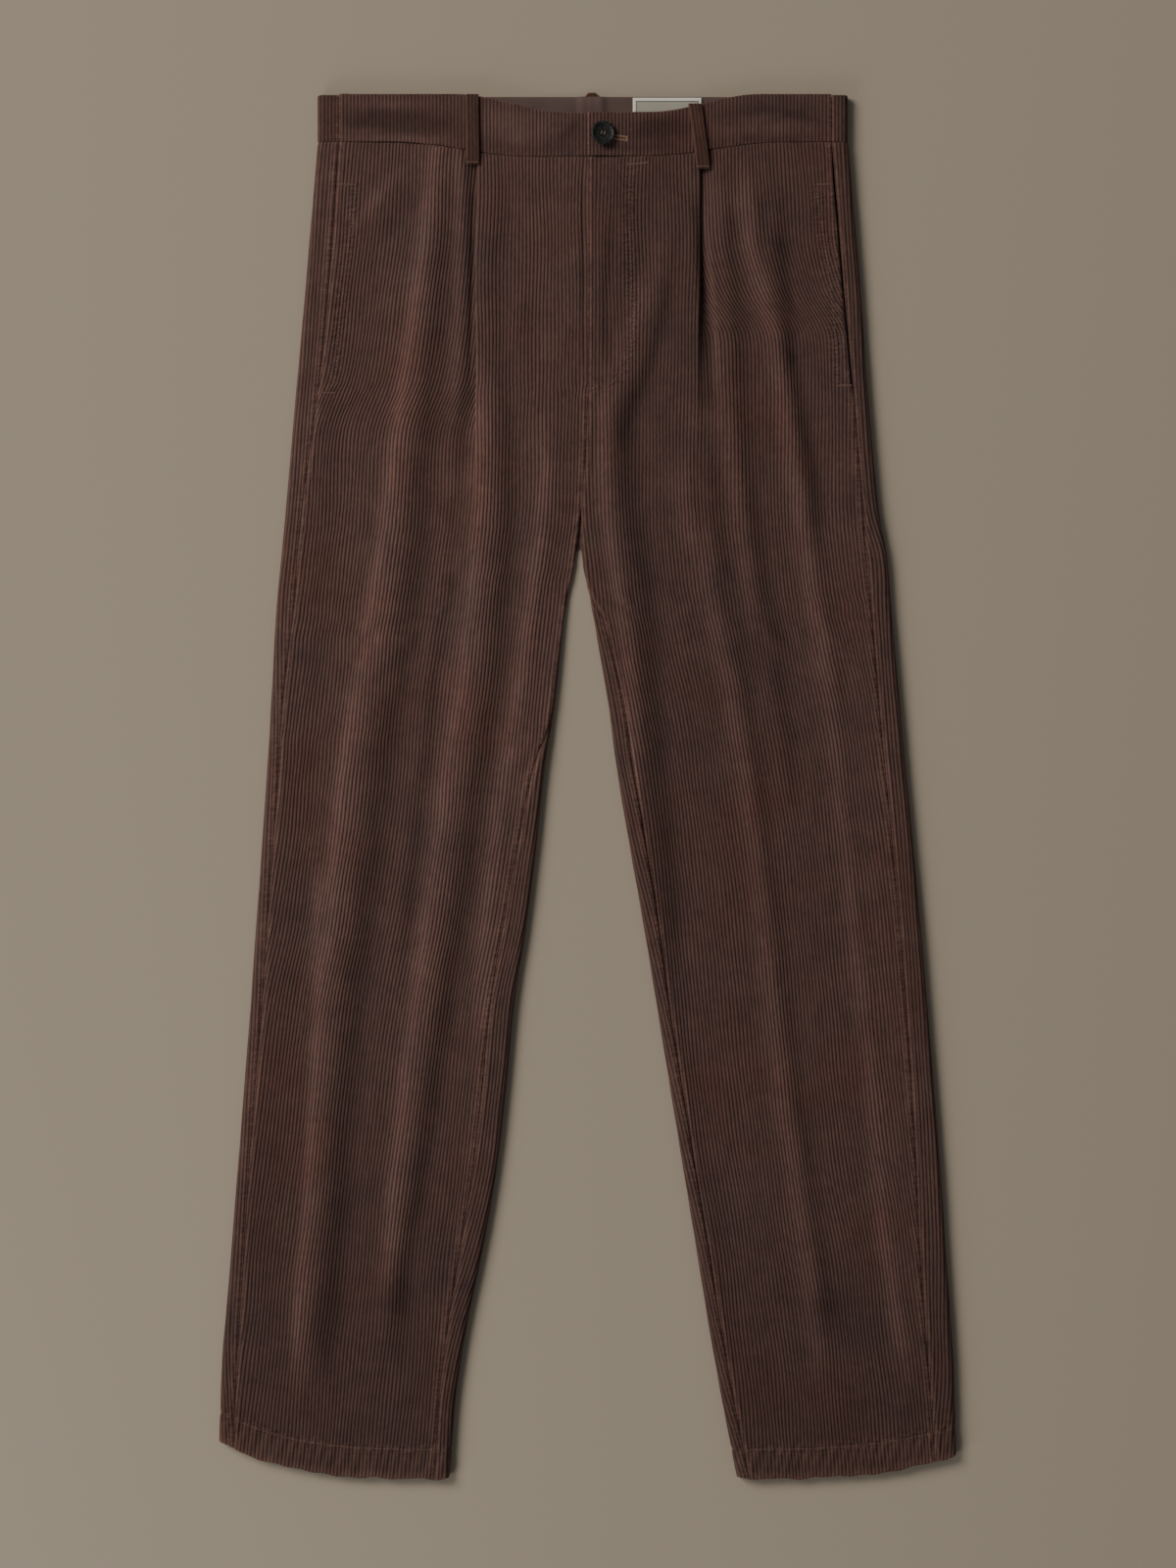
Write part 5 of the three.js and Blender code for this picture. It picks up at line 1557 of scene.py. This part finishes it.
@dataclass
class BeltLoops:
    """Five belt loops: strips with folded long edges, tacked at both ends."""

    corduroy: bpy.types.Material
    corner: float = 2.4
    corner_radius: float = 3.0

    def strip(self, name: str, node: str, ends: Sequence[tuple[float, float]], base: float, arch: float,
              rests_on: str) -> bpy.types.Object:
        """Build one loop along its middle line.

        Across it, a rounded edge of half its thickness; along it, a low arch between its tacked ends.

        Args:
            name: The piece's name.
            node: The solid that it stands for.
            ends: x and y of its middle line.
            base: Height of its under face.
            arch: How far its middle stands up.
            rests_on: The piece that it lies on, not used.

        Returns:
            The piece.
        """
        line = np.array(ends, dtype=float)
        rows, columns, half = 41, 25, LOOP_WIDTH / 2
        on_front = base > 0
        # a back loop's upper end is rounded, and its rows close up towards it
        t = np.linspace(0, 1, rows)[:, None]
        t = t if on_front else 1 - (1 - t) ** 2
        low, high = line[0, 1] + LOOP_TIP, line[-1, 1] - LOOP_TIP
        y = lerp(low, high, t)
        x_mid = np.interp(y, line[:, 1], line[:, 0])
        across = np.linspace(-half, half, columns)[None, :]
        share = np.abs(across / half)
        thin = 1 - 0.75 * smooth(0.8, 1.0, share)
        z = base + LOOP_THICKNESS / 2 + arch * np.sin(np.pi * t) ** 0.6 + 0 * across
        corner = np.clip(y - high + self.corner, 0, self.corner) / self.corner_radius
        rounded = 1.0 if on_front else np.sqrt(1 - corner**2)
        x, y = x_mid + across * rounded, y + 0 * across
        cloth = Cloth(np.dstack([x, y, z]), height_normals(x, y, z), across + 0 * t, y,
                      half - np.abs(across) + 0 * t, np.zeros(rows, dtype=int), np.full(rows, columns - 1))
        cloth, first_angle, first_y = Tip().add(cloth, LOOP_TIP, True, -1.0)
        cloth, last_angle, last_y = Tip().add(cloth, LOOP_TIP, False, 1.0)
        pad = len(Tip().angles)
        angle, tip_y = last_angle + np.pad(first_angle, (0, pad)), last_y + np.pad(first_y, (0, pad))
        thick = LOOP_THICKNESS / 2 * thin + 0 * cloth.near
        relief = 0.35 * (rib(cloth.across + 1.2) - 0.7) * smooth(0.6, 1.6, cloth.near) * on_front
        outer, inner = wall(cloth, angle, tip_y, thick, thick, relief)
        wear = np.clip(0.3 * np.exp(-((cloth.near / 0.8) ** 2)) + 0.2 * np.sin(angle)[:, None], 0, 1)
        nap = np.full_like(cloth.near, -0.35 if on_front else 0.1)
        shell = Shell(outer, inner, cloth.first, cloth.last, cloth.across, cloth.down, wear, nap)
        piece = shell.build(name)
        dress(piece, self.corduroy, Slot.CORDUROY, node)
        return piece

    def build(self) -> list[bpy.types.Object]:
        """Build all five loops."""
        top = BAND_TOP + BAND_BULGE + SEAM_GAP
        loops = [
            self.strip("corduroy_loop_front_right", "loop_front_right",
                       ((-89.5, 485.5), (-89.5, 499), (-90, 530), (-90, 540.4)), top, 1.3,
                       "corduroy_waistband_front_right"),
            self.strip("corduroy_loop_front_left", "loop_front_left",
                       ((91, 482), (89.5, 496), (86, 522), (84.5, 533)), top, 1.0,
                       "corduroy_waistband_front_left"),
        ]
        for key, (x, length) in REAR_LOOPS.items():
            node = "loop_centre_back" if key == "centre" else f"loop_side_{key}"
            low = WAIST_Y + 7.2
            loops.append(self.strip(f"corduroy_{node}", node, ((x, low), (x, low + length)), 0.0, 0.0,
                                    "corduroy_waistband_back"))
        return loops


@dataclass
class Button:
    """The waist button: a turned disc with a raised rim, a dished middle and thread through it."""

    radius: float = 9.6
    height: float = 3.6
    x: float = 12.3
    y: float = 508.8
    lean: float = 12.0
    segments: int = 64

    def build(self) -> list[bpy.types.Object]:
        """Build the disc and the thread in its middle.

        Returns:
            Both pieces.
        """
        lean = math.radians(self.lean)
        base = BAND_TOP + BAND + 2 * SEAM_GAP + 2 * BAND_BULGE + 0.62 * self.radius * math.sin(lean)
        r, h = self.radius, self.height
        profile = np.array([
            (0, 0), (r * 0.5, 0), (r * 0.64, 0.05), (r - 0.8, h * 0.33), (r - 0.25, h * 0.5), (r, h * 0.66),
            (r - 0.05, h * 0.8), (r - 0.35, h * 0.92), (r - 0.9, h), (r - 1.5, h * 0.99),
            (r - 2.0, h * 0.93), (r - 2.5, h * 0.84), (r - 3.2, h * 0.78), (r * 0.45, h * 0.72),
            (r * 0.2, h * 0.7), (0, h * 0.7),
        ])
        turn = np.linspace(0, 2 * np.pi, self.segments, endpoint=False)
        radii, heights = profile[:, 0:1], profile[:, 1:2]
        points = np.stack([radii * np.cos(turn), radii * np.sin(turn), heights + 0 * turn], axis=-1)
        points = self._tilted(points, base)
        rings, count = points.shape[:2]
        ids = np.arange(rings * count).reshape(rings, count)
        ids[0], ids[-1] = ids[0, 0], ids[-1, 0]
        a, b = ids[:-1], ids[1:]
        c, d = np.roll(b, -1, axis=1), np.roll(a, -1, axis=1)
        quad = np.stack([a.ravel(), b.ravel(), c.ravel(), d.ravel()], axis=1)
        faces = np.vstack([quad[:, [0, 1, 2]], quad[:, [0, 2, 3]]])
        keep = (faces[:, 0] != faces[:, 1]) & (faces[:, 1] != faces[:, 2]) & (faces[:, 2] != faces[:, 0])
        disc = write_mesh("horn_button", points.reshape(-1, 3), faces[keep])
        dress(disc, Horn().build(), Slot.HORN, "button")
        thread = Thread("button_thread_cotton", "#8f7c68", "#5e4f42").build()
        top, side = h * 0.7 + 0.2, 1.1
        places = np.array([
            (-side, 0, top), (side, 0, top), (-side, 0.4, top + 0.3), (side, -0.4, top + 0.3),
        ])
        way = np.tile([0.3, 1.0, -0.27], (4, 1))
        sewn = stitches("button_sewing", self._tilted(places, base), way, 3.4, 0.8, 0.7, thread,
                        Slot.BUTTON_THREAD)
        return [disc, sewn]

    def _tilted(self, points: np.ndarray, base: float) -> np.ndarray:
        """Lean points about the line from upper left to lower right: the lower left edge is raised."""
        lean = math.radians(self.lean)
        toward = np.array([1.0, 1.0, 0.0]) / math.sqrt(2)
        share = points @ toward
        up = points[..., 2]
        flat = points - share[..., None] * toward
        flat[..., 2] = up * math.cos(lean) - share * math.sin(lean)
        moved = flat + (share * math.cos(lean) + up * math.sin(lean))[..., None] * toward
        return moved + np.array([self.x, self.y, base])


def stitches(name: str, places: np.ndarray, way: np.ndarray, length: float, width: float,
             height: float, material: bpy.types.Material, slot: Slot) -> bpy.types.Object:
    """Many small spindles of thread as one mesh, one at each place.

    A spindle is three rings of six points between two ends; its width follows an ellipse.

    Args:
        name: The piece's name.
        places: The middle of each stitch.
        way: The direction of each stitch, across z.
        length: The stitches' length.
        width: Their width.
        height: Their height.
        material: Their material.
        slot: The record's slot.

    Returns:
        The piece.
    """
    turn = np.linspace(0, 2 * np.pi, 6, endpoint=False)
    ring_x = np.array([-0.72, 0.0, 0.72])
    size = np.sqrt(1 - ring_x**2)
    ring_y, ring_z = np.outer(size, np.cos(turn)).ravel(), np.outer(size, np.sin(turn)).ravel()
    ring = np.stack([np.repeat(ring_x, 6), ring_y, ring_z], axis=1)
    base = np.vstack([[-1, 0, 0], ring, [1, 0, 0]]) / 2
    k = np.arange(6)
    n = (k + 1) % 6
    first = np.stack([0 * k, 1 + n, 1 + k], axis=1)
    last = np.stack([0 * k + 19, 13 + k, 13 + n], axis=1)
    sides = [np.stack([1 + 6 * j + k, 1 + 6 * j + n, 7 + 6 * j + n, 7 + 6 * j + k], axis=1) for j in (0, 1)]
    quad = np.vstack(sides)
    faces = np.vstack([first, last, quad[:, [0, 1, 2]], quad[:, [0, 2, 3]]])
    flat_way = way / np.linalg.norm(way, axis=1, keepdims=True)
    up = np.tile([0.0, 0.0, 1.0], (len(places), 1))
    cross = np.cross(up, flat_way)
    cross /= np.linalg.norm(cross, axis=1, keepdims=True)
    rise = np.cross(flat_way, cross)
    along_way = flat_way[:, None, :] * base[None, :, 0:1] * length
    points = places[:, None, :] + along_way + cross[:, None, :] * base[None, :, 1:2] * width
    points = points + rise[:, None, :] * base[None, :, 2:3] * height
    offsets = np.arange(len(places))[:, None, None] * len(base)
    piece = write_mesh(name, points.reshape(-1, 3), (faces[None] + offsets).reshape(-1, 3))
    return dress(piece, material, slot)


@dataclass
class Sewing:
    """Topstitching, bar tacks and the buttonhole, laid on the finished cloth."""

    thread: bpy.types.Material
    pale: bpy.types.Material
    stitch: float = 2.6
    pitch: float = 3.3
    sink: float = 0.05

    def line(self, path: Sequence[tuple[float, float]]) -> tuple[np.ndarray, np.ndarray]:
        """Middles and directions of the stitches along a path.

        Args:
            path: x and y of the path.

        Returns:
            The places in the plane, and the directions.
        """
        points = np.array(path, dtype=float)
        spans = np.concatenate([[0], np.cumsum(np.hypot(*np.diff(points, axis=0).T))])
        at = np.arange(self.pitch / 2, spans[-1], self.pitch)
        place = np.stack([np.interp(at, spans, points[:, i]) for i in (0, 1)], axis=1)
        ahead = np.stack([np.interp(at + 0.5, spans, points[:, i]) for i in (0, 1)], axis=1)
        behind = np.stack([np.interp(at - 0.5, spans, points[:, i]) for i in (0, 1)], axis=1)
        return place, ahead - behind

    def lay(self, name: str, carrier: bpy.types.Object,
            path: Sequence[tuple[float, float]]) -> bpy.types.Object:
        """Lay stitches along a path on a piece.

        Args:
            name: The stitching's name.
            carrier: The piece that it is sewn to.
            path: x and y of the path.

        Returns:
            The stitching.
        """
        place, way = self.line(path)
        z = self.heights(carrier, place)
        ahead = self.heights(carrier, place + way * 0.9)
        behind = self.heights(carrier, place - way * 0.9)
        direction = np.column_stack([way * 1.8, ahead - behind])
        points = np.column_stack([place, z - self.sink])
        return stitches(name, points, direction, self.stitch, 0.75, 0.55, self.thread, Slot.THREAD)

    def heights(self, carrier: bpy.types.Object, place: np.ndarray) -> np.ndarray:
        """Height of a piece's upper face under each place, from a ray straight down."""
        tree = self._tree(carrier)
        down = Vector((0, 0, -1))
        spots = (place + ORIGIN[:2]) * MM
        hits = [tree.ray_cast(Vector((x, y, 0.05)), down)[0] for x, y in spots]
        found = np.array([hit.z / MM if hit else np.nan for hit in hits])
        return np.where(np.isnan(found), np.nanmedian(found), found)

    def _tree(self, carrier: bpy.types.Object) -> BVHTree:
        """A search tree of a piece, made once."""
        if not hasattr(self, "_trees"):
            self._trees: dict[str, BVHTree] = {}
        if carrier.name not in self._trees:
            graph = bpy.context.evaluated_depsgraph_get()
            self._trees[carrier.name] = BVHTree.FromObject(carrier, graph)
        return self._trees[carrier.name]

    def tack(self, name: str, carrier: bpy.types.Object, material: bpy.types.Material, spacing: float = 0.7,
             width: float = 2.2) -> bpy.types.Object:
        """Bar tacks: close stitches across each of the short lines under their name.

        Args:
            name: The tacks' name.
            carrier: The piece that they are sewn to.
            material: The thread.
            spacing: Distance between stitches.
            width: The tack's width, which is the stitches' length.

        Returns:
            The tacks.
        """
        places, ways = [], []
        for x0, y0, x1, y1 in TACKS[name]:
            size = math.hypot(x1 - x0, y1 - y0)
            t = np.arange(0, size, spacing)[:, None] / size
            places.append(lerp(np.array([[x0, y0]]), np.array([[x1, y1]]), t))
            ways.append(np.tile([-(y1 - y0) / size, (x1 - x0) / size], (len(t), 1)))
        place, way = np.vstack(places), np.vstack(ways)
        z = self.heights(carrier, place)
        points = np.column_stack([place, z + 0.2])
        direction = np.column_stack([way, 0 * z])
        return stitches(name, points, direction, width, 0.62, 0.6, material, Slot.THREAD)

    def build(self, cloth: dict[str, bpy.types.Object]) -> list[bpy.types.Object]:
        """Sew everything that shows.

        Args:
            cloth: The cloth pieces by node.

        Returns:
            The stitching pieces.
        """
        left, right = cloth["front_panel_left"], cloth["front_panel_right"]
        sewn = [
            self.lay("fly_stitching", left, FLY_STITCHES),
            self.lay("pocket_stitching_left", left, POCKET_STITCHES["left"]),
            self.lay("pocket_stitching_right", right, POCKET_STITCHES["right"]),
            self.tack("bar_tacks_left", left, self.thread),
            self.tack("bar_tacks_right", right, self.thread),
            self.tack("buttonhole", cloth["waistband_front_left"], self.pale, 0.6, 1.9),
            self.tack("loop_tack_right", cloth["loop_front_right"], self.thread, 0.7, 1.3),
            self.tack("loop_tack_left", cloth["loop_front_left"], self.thread, 0.7, 1.3),
        ]
        for leg in (LEFT, RIGHT):
            at = Stations(leg, np.array([HEM_DROP - HEM_DEPTH]))
            low, high = float(at.inner_q[0, 0] + at.inset[0, 0]) + 2, float(at.seam[0, 0]) - 2
            q = np.linspace(low, high, 60)[None, :]
            y = (WAIST_Y - at.drop + row_lift(leg, at, q, True))[0]
            path = np.column_stack([leg.side * q[0], y])
            sewn.append(self.lay(f"hem_stitching_{leg.name}", cloth[f"front_panel_{leg.name}"], path))
        return sewn


@dataclass
class Studio:
    """A plain warm grey floor, a soft key light from the upper left and the camera straight above."""

    frame_height: float = 1.232
    distance: float = 3.0
    sensor: float = 24.0
    centre: tuple[float, float] = (0.0005, -0.0009)
    floor: str = "#a39b8e"

    def camera(self) -> None:
        """Set the camera: its frame is 1200 by 1600 and covers 0.924 by 1.232 m at the floor."""
        data = bpy.data.cameras.new("camera")
        data.sensor_fit = "VERTICAL"
        data.sensor_height = self.sensor
        data.lens = self.sensor * self.distance / self.frame_height
        data.clip_end = 50.0
        camera = bpy.data.objects.new("camera", data)
        camera.location = (*self.centre, self.distance)
        bpy.context.scene.collection.objects.link(camera)
        bpy.context.scene.camera = camera

    def floor_and_light(self) -> None:
        """Make the floor, the lights and the soft world light."""
        bpy.ops.mesh.primitive_plane_add(size=12.0, location=(0, 0, -0.0002))
        floor = bpy.context.object
        floor.name = "floor"
        material, tree = new_material("painted_board")
        place = add(tree, "TexCoord").outputs["Object"]
        grain = add(tree, "TexNoise", {"Vector": place, "Scale": 900.0, "Detail": 2.0})
        bump = add(tree, "Bump", {"Strength": 0.05, "Distance": 0.0002, "Height": grain})
        shader = add(tree, "BsdfPrincipled", {
            "Base Color": linear(self.floor), "Roughness": 0.9, "Specular IOR Level": 0.1, "Normal": bump,
        })
        add(tree, "OutputMaterial", {0: shader})
        floor.data.materials.append(material)
        self._area("key", (-4.2, 2.8, 4.4), 3.2, 350.0, "#fff4e8")
        self._area("fill", (-1.6, -1.6, 1.1), 1.2, 19.0, "#fdf6ee")
        world = bpy.data.worlds.new("soft_sky")
        world.use_nodes = True
        world.node_tree.nodes["Background"].inputs[0].default_value = linear("#e8e6e2")
        world.node_tree.nodes["Background"].inputs[1].default_value = 0.2
        bpy.context.scene.world = world

    def _area(self, name: str, place: tuple[float, float, float], size: float, power: float,
              colour: str) -> None:
        """Add an area light that faces the garment.

        Args:
            name: The light's name.
            place: Where it stands, in metres.
            size: The length of its side, in metres.
            power: Its power in watts.
            colour: Its colour, as an sRGB hex code.
        """
        data = bpy.data.lights.new(name, "AREA")
        data.size = size
        data.energy = power
        data.color = linear(colour)[:3]
        light = bpy.data.objects.new(name, data)
        light.location = place
        light.rotation_euler = (Vector((0, 0, 0)) - Vector(place)).to_track_quat("-Z", "Y").to_euler()
        bpy.context.scene.collection.objects.link(light)


def main() -> None:
    """Build the studio and every piece in order, and report each."""
    logging.basicConfig(level=logging.INFO, format="%(name)s: %(message)s")
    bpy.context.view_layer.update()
    studio = Studio()
    studio.camera()
    studio.floor_and_light()

    corduroy, twill = Corduroy().build(), Twill().build()
    cloth: dict[str, bpy.types.Object] = {}
    panels = Panels(corduroy)
    pocket = PocketFacing(twill)
    band = Waistband(corduroy, twill)
    for leg in (LEFT, RIGHT):
        cloth[f"back_panel_{leg.name}"] = panels.back(leg)
        cloth[f"front_panel_{leg.name}"] = panels.front(leg)
        cloth[f"pocket_facing_{leg.name}"] = pocket.build(leg)
        cloth[f"waistband_front_{leg.name}"] = band.front(leg)
    cloth["waistband_back"] = band.back()
    cloth["waistband_facing"] = band.facing()
    cloth["label"] = Label().build()
    loop_cloth = Corduroy(name="cotton_corduroy_loops", crest="#573f3a", valley="#2c1e1c").build()
    for loop in BeltLoops(loop_cloth).build():
        cloth[loop.name.removeprefix("corduroy_")] = loop
    hard = Button().build()
    thread = Thread("sewing_thread_polyester", "#86665c", "#523a35").build()
    pale = Thread("buttonhole_thread_cotton", "#a1826c", "#6e5344").build()
    sewn = Sewing(thread, pale).build(cloth)
    pieces = [*cloth.values(), *hard, *sewn]
    for piece in pieces:
        log.info("%s: %d triangles", piece.name, len(piece.data.polygons))
    log.info("all pieces: %d triangles", sum(len(piece.data.polygons) for piece in pieces))


if __name__ == "__main__":
    main()
